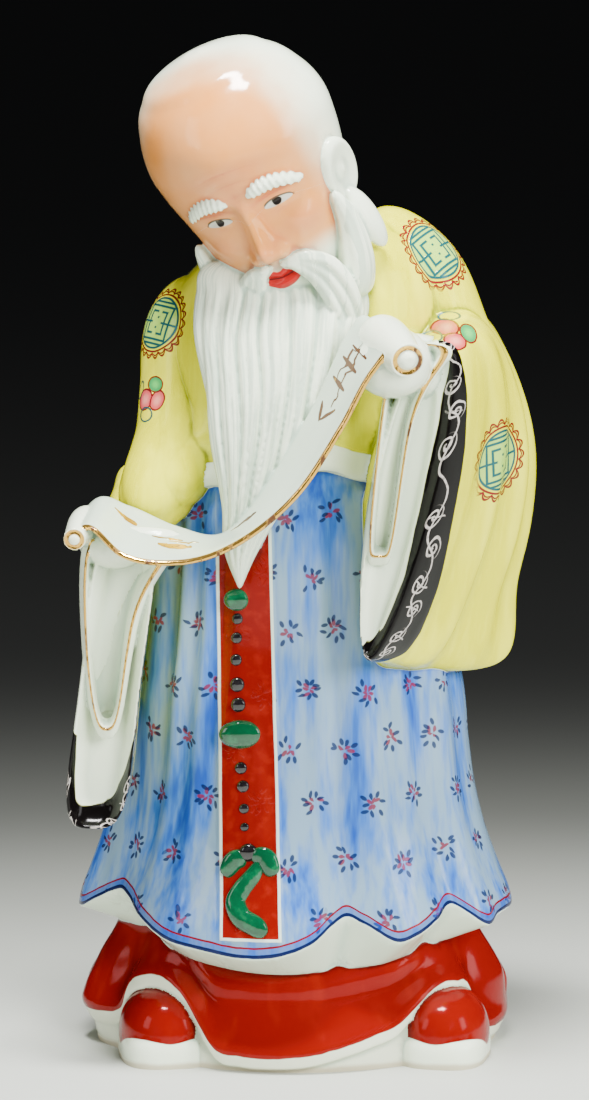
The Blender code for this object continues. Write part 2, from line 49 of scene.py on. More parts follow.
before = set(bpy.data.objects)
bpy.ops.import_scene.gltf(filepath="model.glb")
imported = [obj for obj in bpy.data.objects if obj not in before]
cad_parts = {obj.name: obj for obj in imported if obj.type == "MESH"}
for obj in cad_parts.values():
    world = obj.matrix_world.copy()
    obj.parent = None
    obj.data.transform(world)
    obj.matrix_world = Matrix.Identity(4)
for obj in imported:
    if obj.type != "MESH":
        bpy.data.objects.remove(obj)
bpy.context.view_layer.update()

TURN = 2 * math.pi
UNITS = 400

# Head: centre of the skull, and how the head nods, leans and turns, in degrees
SKULL_CENTRE = (-21.5, -30.0, 361.8)
HEAD_NOD, HEAD_LEAN, HEAD_TURN = 18.0, -22.5, -17.0

# Apron panel: its left and right edges at the top and at the bottom
APRON_TOP, APRON_BOTTOM = 232.0, 55.0
APRON_LEFT = (-31.0, -29.2)
APRON_RIGHT = (-10.8, -6.4)


def length(name, description, default):
    """A setting that is a length in metres."""
    return FloatProperty(name=name, description=description, default=default, unit="LENGTH")


class FigureSettings(bpy.types.PropertyGroup):
    """Sizes of the porcelain body."""

    height: length("Height", "Height of the figure", 0.400)
    scroll_thickness: length("Scroll thickness", "Thickness of the open scroll", 0.0030)
    sleeve_wall: length("Sleeve wall", "Thickness of the sleeves' walls", 0.0032)
    apron_relief: length("Apron relief", "How far the apron stands out", 0.0008)
    vent_radius: length("Vent radius", "Radius of the hole in the foot", 0.0090)
    vent_depth: length("Vent depth", "Depth of the hole in the foot", 0.0120)
    grain: length("Grain", "Finest detail that the clay holds", 0.00058)
    facets: IntProperty(name="Facets", description="Triangles kept on the body", default=190000)


class EnamelSettings(bpy.types.PropertyGroup):
    """Sizes of the raised enamel."""

    swell: FloatProperty(name="Swell", description="How full the drops are, as a share", default=1.0)


class StageSettings(bpy.types.PropertyGroup):
    """Sizes of the stage."""

    distance: length("Camera distance", "From the camera to the figure", 2.374)
    rise: FloatProperty(
        name="Camera rise", description="Angle of the camera above level", default=math.radians(10),
        subtype="ANGLE")
    lens: FloatProperty(name="Lens", description="Focal length in millimetres", default=195.0)
    floor: length("Floor", "Width of the table top", 15.0)


# Drawing lines and forms


def through(stops, at):
    """A smooth line through (place, value) stops, read at the given places."""
    place = np.array([stop[0] for stop in stops], float)
    value = np.array([stop[1] for stop in stops], float)
    slope = np.gradient(value, place, axis=0)
    at = np.clip(np.asarray(at, float), place[0], place[-1])
    left = np.clip(np.searchsorted(place, at) - 1, 0, len(place) - 2)
    span = place[left + 1] - place[left]
    t = (at - place[left]) / span
    if value.ndim > 1:
        t, span = t[:, None], span[:, None]
    return (
        value[left] * (2 * t**3 - 3 * t**2 + 1)
        + value[left + 1] * (3 * t**2 - 2 * t**3)
        + slope[left] * span * (t**3 - 2 * t**2 + t)
        + slope[left + 1] * span * (t**3 - t**2)
    )


def hump(distance, width):
    """A soft bump of height 1 where distance is 0, gone at about twice the width."""
    return np.exp(-((distance / width) ** 2))


def ease(low, high, at):
    """0 below low, 1 above high, and a smooth rise between."""
    t = np.clip((at - low) / (high - low), 0, 1)
    return t * t * (3 - 2 * t)


def apart(angle, centre):
    """Signed angle from a direction given in degrees, in degrees."""
    return (np.degrees(angle) - centre + 180) % 360 - 180


def signed_power(value, power):
    """The power of a value's size, with its sign kept."""
    return np.sign(value) * np.abs(value) ** power


def turned(degrees):
    """Rotation matrix for turns about X, Y and Z in degrees."""
    return np.array(Euler([math.radians(a) for a in degrees], "XYZ").to_matrix())


Shape = namedtuple("Shape", "owner name points corners angle share")


def form(owner, name, place, columns=96, rows=64):
    """A closed form whose points go where place(angle, share) says.

    angle runs round the form from the front towards +X, and share from its first pole to its last.
    """
    around = np.arange(columns) / columns * TURN - math.pi
    angle, share = np.meshgrid(around, np.arange(1, rows) / rows)
    angle = np.append(angle.ravel(), (0.0, 0.0))
    share = np.append(share.ravel(), (0.0, 1.0))
    points = np.column_stack(place(angle, share))
    first, last = len(points) - 2, len(points) - 1
    column = np.arange(columns)
    after = (column + 1) % columns
    corners = []
    for row in range(rows - 2):
        low, high = row * columns, (row + 1) * columns
        corners.append(np.column_stack((low + column, low + after, high + after)))
        corners.append(np.column_stack((low + column, high + after, high + column)))
    top = (rows - 2) * columns
    corners.append(np.column_stack((np.full(columns, first), after, column)))
    corners.append(np.column_stack((np.full(columns, last), top + column, top + after)))
    return Shape(owner, name, points, np.vstack(corners), angle, share)


def ball(owner, name, centre, radii, turns=(0, 0, 0), columns=96, rows=64):
    """An ellipsoid, in units, turned by degrees about X, Y and Z."""
    rotation = turned(turns)

    def place(angle, share):
        around = np.sin(share * math.pi)
        points = np.column_stack(
            (
                radii[0] * around * np.sin(angle),
                -radii[1] * around * np.cos(angle),
                -radii[2] * np.cos(share * math.pi),
            )
        )
        return (points @ rotation.T + centre).T

    return form(owner, name, place, columns, rows)


def limb(owner, name, stops, columns=96, rows=96, strands=0, depth=0.0):
    """A round-ended tube through stops of (share, (x, y, z, radius)), with strands along it."""

    def place(angle, share):
        line = through(stops, share)
        # Reading a little ahead and behind gives the way that the tube runs
        ahead = through(stops, np.clip(share + 0.01, 0, 1))[:, :3]
        behind = through(stops, np.clip(share - 0.01, 0, 1))[:, :3]
        along = ahead - behind
        along /= np.linalg.norm(along, axis=1)[:, None] + 1e-9
        side = np.cross(along, (0.0, 1.0, 0.0))
        side /= np.linalg.norm(side, axis=1)[:, None] + 1e-9
        other = np.cross(side, along)
        rounded = np.sqrt(np.clip(1 - (2 * share - 1) ** 8, 0, 1))
        groove = depth * (np.abs(np.cos(strands * angle / 2 + 2.5 * share)) ** 0.6 - 0.7)
        radius = line[:, 3] * rounded + groove * rounded * (line[:, 3] > 1)
        ring = np.sin(angle)[:, None] * side + np.cos(angle)[:, None] * other
        return (line[:, :3] + radius[:, None] * ring).T

    return form(owner, name, place, columns, rows)


# The skirt, its hem and its apron

# Height of the upper skirt's hem round the figure, as (degrees from the front, units). Where the
# cloth folds outward its hem hangs low, and where it folds inward the hem lifts.
SKIRT_HEM = (
    (-90, 52.5), (-82, 54.5), (-73.5, 60), (-65, 65), (-57.5, 63.5), (-47, 57.5), (-33.5, 51),
    (-25, 49.5),
    (-10, 47.5), (-3, 49), (4.5, 53.4), (9.5, 58.9), (14, 61.8), (19, 58.4), (27, 52), (33, 53.6),
    (40.5, 57.4), (50, 61.8), (54, 58), (59, 53), (68, 54.6), (86, 54.4),
    (96, 55), (110, 63), (131, 53), (152, 62), (172, 52.5), (195, 62), (216, 53), (237, 61),
    (252, 55), (270, 52.5),
)
HEM_LEVEL = 58.0

# Folds higher up, as (degrees from the front, half width, how far out), in degrees and units
WAIST_FOLDS = (
    (-92, 12, 4.0), (-64, 6, 1.4), (-53, 4, -2.2), (-47, 3, 1.2), (-41, 3.5, -2.1), (-35, 3, 1.0),
    (-29, 3.5, -1.9), (-8, 12, 0.6), (3, 3.5, -1.2), (14, 4, -2.6), (24, 5, 1.4), (33, 4, -1.5),
    (46, 4.5, -2.3), (60, 6, 1.2), (72, 5, -1.6),
    (92, 9, 0.8), (110, 7, -1.6), (131, 9, 1.2), (152, 7, -1.8), (172, 9, 1.2), (195, 7, -1.8),
    (216, 9, 1.0), (237, 7, -1.5),
)
SKIRT_HALF_WIDTH = (
    (46, 84.5), (58, 83), (70, 78.5), (84, 73.5), (100, 69.5), (118, 67), (137, 65.5), (165, 61.5),
    (200, 58.5), (222, 56), (240, 52),
)
SKIRT_FRONT = (
    (46, 67), (60, 64.5), (82, 58.5), (110, 54.5), (137, 52.5), (170, 50), (196, 50), (214, 48.5),
    (228, 44), (240, 40),
)
SKIRT_BACK = ((46, 62), (60, 60), (82, 55), (137, 50), (200, 46), (240, 40))
SKIRT_TOP = 238
# Share of the skirt's cloth at which it turns in under the hem
SKIRT_TURN_IN = 0.16


def skirt_hem(angle):
    """Height of the hem at each angle round the figure."""
    return through(SKIRT_HEM, (np.degrees(angle) + 90) % 360 - 90)


def skirt_fold(angle, rise):
    """How far the skirt's cloth stands out, with rise 0 at the hem and 1 at the waist."""
    low = 0.5 * (HEM_LEVEL - skirt_hem(angle))
    high = np.zeros_like(angle)
    for centre, width, out in WAIST_FOLDS:
        high += out * hump(apart(angle, centre), width)
    weight = np.clip(1 - 1.6 * rise, 0, 1) ** 1.4
    return low * weight + high * (1 - weight) * ease(1.05, 0.75, rise)


def skirt_rise(share):
    """How far up the cloth a share is, and how far it has turned in under the hem."""
    return np.clip((share - SKIRT_TURN_IN) / 0.80, 0, 1), np.clip((SKIRT_TURN_IN - share) / 0.12, 0, 1)


def apron_inside(x, z):
    """How far inside the apron's edges a point of the front is. It is negative outside."""
    along = np.clip((APRON_TOP - z) / (APRON_TOP - APRON_BOTTOM), 0, 1)
    left = APRON_LEFT[0] + (APRON_LEFT[1] - APRON_LEFT[0]) * along
    right = APRON_RIGHT[0] + (APRON_RIGHT[1] - APRON_RIGHT[0]) * along
    return np.minimum(np.minimum(x - left, right - x), z - APRON_BOTTOM)


def skirt(relief):
    """The pleated upper skirt, with the thick edge that runs in under its hem."""

    def place(angle, share):
        rise, turned_in = skirt_rise(share)
        closing = np.clip((1 - share) / 0.04, 0, 1) * np.clip(share / 0.04, 0, 1)
        fold = skirt_fold(angle, rise)
        hem = skirt_hem(angle)
        level = hem + (SKIRT_TOP - hem) * rise
        half_width = through(SKIRT_HALF_WIDTH, level)
        half_depth = np.where(np.cos(angle) > 0, through(SKIRT_FRONT, level), through(SKIRT_BACK, level))
        inward = 1 - 0.20 * turned_in
        x = (half_width + fold) * np.sin(angle) * inward * closing
        y = -(half_depth + fold) * np.cos(angle) * inward * closing
        z = level + turned_in * (38 + 10 * np.sin(angle) ** 2 - level)
        edge = apron_inside(x, z)
        panel = ease(-1.5, -0.5, edge) * (np.cos(angle) > 0)
        rim = hump(edge + 0.3, 0.8) * (np.cos(angle) > 0)
        return x, y - relief * (panel + 0.35 * rim), z

    return place


def skirt_lines(angle, share):
    """Turns round the skirt, height over its hem, and units for one turn at that place."""
    rise, turned_in = skirt_rise(share)
    hem = skirt_hem(angle)
    level = hem + (SKIRT_TOP - hem) * rise
    width = through(SKIRT_HALF_WIDTH, level) * np.cos(angle)
    depth = through(SKIRT_FRONT, level) * np.sin(angle)
    return angle / TURN + 0.5, level - hem - 12 * turned_in, TURN * np.hypot(width, depth)


# Lower skirt: lobes and hollows as (angle, half-width, how far out at the floor)
LOWER_FOLDS = (
    (-84, 10, 4.5), (-64, 8, -4.5), (-2, 26, 1.5), (66, 8, -4.0), (88, 9, 3.5),
    (112, 10, -3.0), (135, 12, 2.5), (160, 12, -2.5), (182, 13, 2.0), (205, 12, -2.5),
    (228, 12, 2.5), (250, 10, -3.0),
)

# Its lower edge at the front, as (x, height): it arches over each shoe and sags between them
LOWER_EDGE = (
    (-84, 13), (-77, 13), (-71.4, 17), (-68, 25), (-60.5, 31), (-50, 31), (-42.5, 25), (-37.5, 16.5),
    (-32.5, 9), (-22, 6), (-9, 5.5), (4, 6.5), (16.5, 9.5), (29, 13), (40, 17), (46, 22.5),
    (52.5, 28), (61, 29), (69, 24), (73, 11), (84, 8),
)
LOWER_HALF_WIDTH = ((-4, 78), (4, 79), (12, 80), (23, 80.5), (34, 75.5), (46, 69.5), (62, 66))
# Width of the pale band at that edge, and how far the plinth stands back behind it
EDGE_BAND = 3.8
EDGE_STEP = 3.4
LOWER_RADIUS = 70


def lower_level(share):
    """Height of each share of the lower skirt."""
    return -4 + 66 * np.clip((share - 0.05) / 0.90, 0, 1)


def lower_edge(angle, level):
    """Height of the lower skirt's edge."""
    half_width = through(LOWER_HALF_WIDTH, level)
    front_edge = through(LOWER_EDGE, half_width * np.sin(angle))
    back_edge = 9 + 3 * np.sin(5 * angle)
    return back_edge + (front_edge - back_edge) * ease(-0.25, 0.1, np.cos(angle))


def lower_skirt(angle, share):
    """The red lower skirt, with the plinth that shows under its edge."""
    closing = np.clip((1 - share) / 0.05, 0, 1) * np.clip(share / 0.05, 0, 1)
    level = lower_level(share)
    half_width = through(LOWER_HALF_WIDTH, level)
    front = through(((-4, 63), (6, 63), (14, 60.5), (26, 54.5), (40, 50), (62, 48)), level)
    back = through(((-4, 57), (12, 57), (30, 52), (46, 48), (62, 46)), level)
    facing = np.cos(angle)
    half_depth = np.where(facing > 0, front, back)
    fold = np.zeros_like(angle)
    for centre, width, out in LOWER_FOLDS:
        fold += out * hump(apart(angle, centre), width)
    fold *= through(((-4, 0.35), (6, 0.55), (24, 1.0), (46, 0.55), (62, 0.3)), level)
    # The cloth ends at its edge, and the plinth below stands a little further in
    edge = lower_edge(angle, level)
    step = EDGE_STEP * (0.35 + 0.65 * ease(0.35, 0.6, facing))
    fold -= step * ease(edge - EDGE_BAND + 0.8, edge - EDGE_BAND - 1.4, level)
    fold += 1.6 * hump(level - edge - 3, 4) - 1.4 * hump(level - edge - 14, 7) * (facing > 0)
    fold += 0.7 * np.cos(0.42 * (level - 0.45 * edge)) * ease(0.3, 0.7, facing) * hump(level - 34, 14)
    x = (half_width + fold) * np.sin(angle) * closing
    y = -(half_depth + fold) * facing * closing
    return x, y, level


def lower_lines(angle, share):
    """Turns round the lower skirt, height over its edge, and units for one turn."""
    level = lower_level(share)
    return angle / TURN + 0.5, level - lower_edge(angle, level), TURN * LOWER_RADIUS + 0 * angle


def shoe(centre_x, front_y, toe_out, half_width):
    """A rounded toe on a thick sole, pointing forward and a little outward."""
    turn = math.radians(toe_out)

    def shifted(x, y, z):
        return (
            centre_x + x * math.cos(turn) - y * math.sin(turn),
            front_y + 22 + x * math.sin(turn) + y * math.cos(turn),
            z,
        )

    def sole(angle, share):
        around = np.sin(share * math.pi) ** 0.2
        x = half_width * signed_power(np.sin(angle), 0.7) * around
        y = -22 * signed_power(np.cos(angle), 0.62) * around
        z = 3.6 + 8.0 * signed_power(-np.cos(share * math.pi), 0.6)
        return shifted(x, y, z)

    def toe(angle, share):
        around = np.sin(share * math.pi) ** 0.8
        x = (half_width + 0.5) * np.sin(angle) * around
        y = -21 * np.cos(angle) * around
        z = 10.5 - 17.5 * np.cos(share * math.pi)
        return shifted(x, y, z)

    return [form("sole", "sole", sole, 128, 64), form("toe", "toe", toe, 128, 80)]


# The robe and its sleeves

ROBE_TOP = 329
ROBE_RADIUS = 52
# Share of the robe that closes it at the bottom, before its cloth starts
ROBE_FOOT = 0.06


def robe_rise(share):
    """How far up the robe a share is."""
    return np.clip((share - ROBE_FOOT) / (1 - ROBE_FOOT), 0, 1)


def robe_edge(angle):
    """Height of the robe's lower edge."""
    wave = 4 * np.sin(3 * angle + 0.6) + 2.6 * np.sin(9 * angle + 0.4)
    return 228.5 + wave - 8 * hump(apart(angle, 180), 60)


def robe(angle, share):
    """The short robe: chest, sloping shoulders and rounded back, higher towards +X."""
    closing = np.clip(share / ROBE_FOOT, 0, 1)
    rise = robe_rise(share)
    half_width = through(
        ((0, 57), (0.12, 60), (0.35, 58), (0.6, 57), (0.78, 50), (0.9, 37), (0.97, 21), (1, 0)), rise)
    front = through(((0, 44), (0.12, 50), (0.35, 47), (0.7, 42), (0.88, 32), (0.97, 16), (1, 0)), rise)
    back = through(((0, 46), (0.12, 49), (0.4, 46), (0.7, 44), (0.88, 33), (0.97, 17), (1, 0)), rise)
    half_depth = np.where(np.cos(angle) > 0, front, back)
    edge = robe_edge(angle)
    level = edge + (ROBE_TOP - edge) * rise - 5 * (1 - closing)
    folds = 0.9 * np.sin(13 * angle) * hump(rise - 0.15, 0.25) * (1 - rise)
    folds += 2.0 * np.sin(9 * angle + 1) * hump(rise - 0.02, 0.08)
    folds += 3.2 * hump(rise - 0.015, 0.05) - 1.8 * hump(rise - 0.13, 0.05)
    x = half_width * np.sin(angle) * closing * (1 + folds / 60)
    y = -half_depth * np.cos(angle) * closing * (1 + folds / 60)
    return x + 5 * rise, y - 3 * rise, level + 0.17 * rise * x


def robe_lines(angle, share):
    """Turns round the robe, height over its lower edge, and units for one turn."""
    height = (ROBE_TOP - robe_edge(angle)) * robe_rise(share)
    return angle / TURN + 0.5, height, TURN * ROBE_RADIUS + 0 * angle


# Sleeves, from deep inside the opening, over its edge and back to the elbow, as stops of
# (share, (x, y, z, half width, half height, lean)). Lean moves the foot towards -X.
RIGHT_SLEEVE = (
    (0.00, (42, -60, 228, 0, 0, 0.17)),
    (0.08, (41, -61, 227, 5.5, 42, 0.18)),
    (0.18, (39.5, -64.5, 226, 8.8, 53, 0.20)),
    (0.27, (39.5, -66, 226, 11.6, 58.5, 0.22)),
    (0.31, (40.5, -68.5, 226, 13.8, 60.5, 0.22)),
    (0.36, (42, -66, 226, 17.0, 62, 0.22)),
    (0.48, (47, -53, 225, 23.5, 64.5, 0.19)),
    (0.62, (54.5, -32, 223, 29.5, 69, 0.12)),
    (0.76, (58.5, -8, 223, 33.0, 71, 0.00)),
    (0.88, (62, 12, 230, 25.0, 57, 0.05)),
    (0.96, (62, 24, 240, 14.0, 30, 0.00)),
    (1.00, (60, 28, 244, 0, 0, 0.00)),
)
LEFT_SLEEVE = (
    (0.00, (-71, -56, 158, 0, 0, 0.10)),
    (0.08, (-70.5, -57, 157, 5.8, 40, 0.11)),
    (0.18, (-71, -61.5, 155, 8.8, 50, 0.12)),
    (0.27, (-71.3, -65, 155, 11.0, 54.5, 0.124)),
    (0.31, (-71.5, -67, 155, 12.4, 56.0, 0.124)),
    (0.36, (-71.6, -64.5, 155, 13.0, 57, 0.124)),
    (0.48, (-71, -52, 157, 12.6, 56, 0.11)),
    (0.62, (-72, -34, 164, 10.5, 53, 0.10)),
    (0.78, (-66, -12, 184, 10.0, 40, 0.05)),
    (0.90, (-60, 4, 198, 11.0, 32, 0.00)),
    (0.97, (-57, 12, 205, 9.0, 20, 0.00)),
    (1.00, (-56, 15, 208, 0, 0, 0.00)),
)
SLEEVE_RIM = 0.31

# Narrow inner sleeves that stand in the openings, in the same kind of stops
RIGHT_INNER = (
    (0.00, (36, -56, 246, 0, 0, 0.11)),
    (0.10, (37, -57, 246, 2.2, 35, 0.11)),
    (0.30, (36.4, -64, 246.5, 3.3, 38.5, 0.11)),
    (0.44, (35.9, -70, 246.5, 4.1, 40, 0.11)),
    (0.50, (35.7, -71.8, 246.5, 5.0, 41, 0.11)),
    (0.58, (35.8, -70, 246, 5.6, 41.2, 0.11)),
    (0.80, (36, -60, 243, 5.0, 39, 0.11)),
    (1.00, (38, -48, 243, 0, 0, 0.15)),
)
LEFT_INNER = (
    (0.00, (-72, -56, 175, 0, 0, 0.0)),
    (0.10, (-72.5, -57, 175, 4.4, 30, 0.0)),
    (0.30, (-73, -63, 175, 6.0, 34.0, 0.0)),
    (0.44, (-73, -68, 175, 6.9, 36.0, 0.0)),
    (0.50, (-73, -69.6, 175, 7.6, 37.0, 0.0)),
    (0.58, (-73, -68, 175, 8.4, 38.0, 0.0)),
    (0.80, (-73, -60, 174, 9.0, 38, 0.0)),
    (1.00, (-72, -46, 172, 0, 0, 0.0)),
)
INNER_RIM = 0.50

# Thickness of the wall that the sleeves' stops are drawn for
SLEEVE_WALL = 3.2


def sleeve(stops, folds, fold_depth, fullness, wall):
    """A wide hanging sleeve. Its folds run down its sides and deepen towards the bottom.

    fullness is how wide it stays at the bottom: 0 draws it in to a point and 1 leaves it round.
    wall is the thickness of the cloth.
    """

    def place(angle, share):
        centre_x, centre_y, centre_z, half_width, half_height, lean = through(stops, share).T
        # The wall is thicker or thinner as the sleeve's inside moves in or out
        inner = (wall - SLEEVE_WALL) * ease(SLEEVE_RIM, 0.10, share)
        half_width = np.clip(half_width - inner * (half_width > 0), 0, None)
        down = 0.5 - 0.5 * np.cos(angle)
        pleat = fold_depth * np.cos(TURN * folds * share) * ease(0.42, 0.55, share)
        pleat *= ease(0.99, 0.9, share) * (0.25 + 0.75 * down)
        drawn_in = 1 - (1 - fullness) * 0.62 * down**2 * ease(0.75, 0.45, share)
        waisted = fullness * (0.90 + 1.8 * (down - 0.5) ** 2) + (1 - fullness) * (0.88 + 0.14 * down)
        # Waves of the lower outline
        bent = 0.11 * hump(down - 0.42, 0.2) - 0.13 * hump(down - 0.8, 0.12) - 0.12 * hump(down, 0.2)
        waisted += (1 - fullness) * bent * ease(0.5, 0.7, share)
        wide = half_width * waisted * drawn_in + pleat * (half_width > 4)
        squared = fullness + (1 - fullness) * ease(0.36, 0.6, share)
        square = 0.42 * squared + 0.58 * (1 - fullness) * ease(0.6, 0.75, share)
        lean = lean + 0.13 * (1 - fullness) * down**2 * ease(0.5, 0.7, share)
        x = wide * signed_power(np.sin(angle), 1 - square * down - 0.45 * fullness * (1 - down))
        z = half_height * np.cos(angle)
        return centre_x + x + lean * z, centre_y + 0 * x, centre_z + z

    return place


def inner_sleeve(stops, flare, rush, taper, blunt):
    """A narrow upright opening. Its +X side flares towards the top, and blunt squares its foot."""

    def place(angle, share):
        centre_x, centre_y, centre_z, half_width, half_height, lean = through(stops, share).T
        up = 0.5 + 0.5 * np.cos(angle)
        opened = 1 + flare * up**rush * (np.sin(angle) > 0) * (half_width > 0.5)
        corner = 0.8 - 0.3 * up - blunt * (1 - up)
        x = half_width * signed_power(np.sin(angle), corner) * (1 - taper + 2 * taper * up) * opened
        z = half_height * signed_power(np.cos(angle), 0.9)
        return centre_x + x + lean * z, centre_y + 0 * x, centre_z + z

    return place


def sleeve_lines(stops, rim):
    """Turns round a sleeve from its top, and distance from its rim, which is negative inside."""
    steps = np.linspace(0, 1, 400)
    line = through(stops, steps)
    walked = np.append(0, np.cumsum(np.hypot(np.diff(line[:, 1]), np.diff(line[:, 3]))))
    walked -= np.interp(rim, steps, walked)

    def lines(angle, share):
        around = TURN * np.abs(through(stops, share)[:, 4]) * 0.72
        return (angle / TURN) % 1, np.interp(share, steps, walked), around

    return lines


# The beard


# Stops of the beard as (share, (x, y of the front, z, half width, half depth))
BEARD = (
    (0.00, (-9, -40, 319, 14, 6)), (0.06, (-8, -44, 312, 28, 9)), (0.14, (-6, -51, 303, 32.5, 12)),
    (0.24, (-6.5, -59, 290, 33, 14)), (0.38, (-7, -65, 270, 29, 14)), (0.56, (-10, -67, 246, 23, 12)),
    (0.74, (-16.5, -65, 223, 12.5, 10)), (0.90, (-21.5, -60, 203, 6.2, 7)),
    (1.00, (-22, -55, 190, 0.5, 0.5)),
)
BEARD_LENGTH = 133
BEARD_RADIUS = 30


def beard(angle, share):
    """The long beard: locks run from the cheeks and chin down to one point."""
    centre_x, front_y, centre_z, half_width, half_depth = through(BEARD, share).T
    closing = np.clip(share / 0.04, 0, 1)
    across = np.sin(angle)
    bend = 0.8 * np.sin(5 * share + 2.2 * across) + 0.35 * np.sin(13 * share + 5 * across)
    broad = np.abs(np.cos(11 * across + bend)) ** 0.7
    narrow = np.abs(np.cos(27 * across + 2.1 * bend + 0.6 * np.sin(9 * across))) ** 0.8
    locks = 2.6 * broad + 1.4 * narrow * ease(4, 14, half_width) - 2.6
    locks *= ease(0.06, 0.2, share) * ease(1.0, 0.88, share) * (np.cos(angle) > -0.2)
    x = centre_x + (half_width + 0.35 * locks) * signed_power(across, 0.9) * closing
    y = front_y + half_depth - (half_depth + locks) * np.cos(angle) * closing
    return x, y, centre_z + 0 * x


def beard_lines(angle, share):
    """Turns across the beard, distance down it, and units for one turn."""
    return angle / TURN + 0.5, BEARD_LENGTH * share, TURN * BEARD_RADIUS + 0 * angle


# The scroll: its front and back edges as they hang from hand to hand, right to left
SCROLL_FRONT = (
    (0.00, (41, -90, 279)), (0.06, (37, -90, 287.5)), (0.14, (29, -89, 279)), (0.28, (17, -88, 257)),
    (0.42, (1, -88, 232.5)), (0.58, (-22, -88, 213.5)), (0.74, (-45, -87, 205.5)),
    (0.88, (-67, -83, 208)), (0.97, (-80, -77, 217.5)), (1.00, (-84, -74, 215.5)),
)
SCROLL_BACK = (
    (0.00, (30, -62, 286)), (0.06, (26, -60, 296)), (0.14, (20, -62, 291)), (0.28, (7, -66, 264)),
    (0.42, (-9, -66, 236)), (0.58, (-27, -62, 213)), (0.74, (-46, -54, 214)),
    (0.88, (-65, -47, 221)), (0.97, (-77, -45, 223)), (1.00, (-81, -46, 219)),
)
SCROLL_LENGTH = 176

# The rolls at its ends, as the knob's end, the far end, radius and the knob's radius
RIGHT_ROLL = ((41.5, -92, 284), (30, -62, 290), 6.8, 3.9)
LEFT_ROLL = ((-84.5, -79, 213.5), (-80, -48, 217), 4.3, 2.6)


def scroll(thickness):
    """The open sheet of the scroll, a thin band with soft edges."""

    def place(angle, share):
        front = through(SCROLL_FRONT, share)
        back = through(SCROLL_BACK, share)
        ahead = through(SCROLL_FRONT, share + 0.01) + through(SCROLL_BACK, share + 0.01)
        behind = through(SCROLL_FRONT, share - 0.01) + through(SCROLL_BACK, share - 0.01)
        along = ahead - behind
        across = (front - back) / 2
        upright = np.cross(along, across)
        upright /= np.linalg.norm(upright, axis=1)[:, None] + 1e-9
        ends = np.clip(np.minimum(share, 1 - share) / 0.012, 0, 1) ** 0.5
        flat = signed_power(np.cos(angle), 0.35) * ends
        thick = thickness / 2 * signed_power(np.sin(angle), 0.7) * ends
        points = (front + back) / 2 + across * flat[:, None] + upright * thick[:, None]
        return points.T

    return place


def scroll_lines(angle, share):
    """Share along the scroll, distance in from its front edge, and its length."""
    width = np.linalg.norm(through(SCROLL_FRONT, share) - through(SCROLL_BACK, share), axis=1)
    flat = signed_power(np.cos(angle), 0.35)
    return share, width * (1 - flat) / 2, SCROLL_LENGTH + 0 * share


def roll(start, end, radius, knob):
    """A round roll whose first end has a groove round a knob."""
    start, end = np.array(start, float), np.array(end, float)
    length = np.linalg.norm(end - start)
    along = (end - start) / length
    side = np.cross(along, (0, 0, 1.0))
    side /= np.linalg.norm(side)
    other = np.cross(side, along)
    profile = (
        (0.0, (-knob * 0.5, 0)), (0.08, (-knob * 0.42, knob * 0.6)), (0.15, (0.3, knob * 0.98)),
        (0.20, (1.6, knob * 1.08)), (0.25, (0.6, knob * 1.22)), (0.31, (-0.3, (knob + radius) * 0.62)),
        (0.38, (0.5, radius * 0.98)), (0.44, (2.0, radius)), (0.90, (length - 1, radius)),
        (0.96, (length, radius * 0.6)), (1.0, (length, 0)),
    )

    def place(angle, share):
        reach, width = through(profile, share).T
        ring = np.sin(angle)[:, None] * side + np.cos(angle)[:, None] * other
        return (start + reach[:, None] * along + np.clip(width, 0, None)[:, None] * ring).T

    return place


# The head


def head_frame():
    """The head's own frame: X to its left, -Y out of the face and Z to the crown, in units."""
    return turned((HEAD_NOD, HEAD_LEAN, HEAD_TURN)), np.array(SKULL_CENTRE)


# Head from its chin to its crown, in its own frame: level, half width, front and back
HEAD_STOPS = (
    (-66, (3, 22, 4)), (-62, (14, 27, 8)), (-54, (23.5, 30.5, 13)), (-44, (28, 32, 19)),
    (-32, (31, 33, 27)), (-20, (34, 35, 33)), (-8, (36.5, 38.5, 36.5)), (4, (37.5, 40.5, 38)),
    (16, (34.5, 37.5, 35.5)), (27, (27.8, 29, 28.5)), (34, (18.2, 19, 19)), (38, (3, 3, 3)),
)
# How far the nose stands out, as (height, distance)
NOSE = (
    (-43.5, 0), (-41.5, 1.2), (-39, 6.8), (-35.5, 9.4), (-30, 7.2), (-23, 4.4), (-16, 2.6), (-10, 0),
)
EYE_SIDE, EYE_LEVEL = 12.5, -19.0
LIP_LEVEL = -48.5
MOUTH_SIDE = 9.8


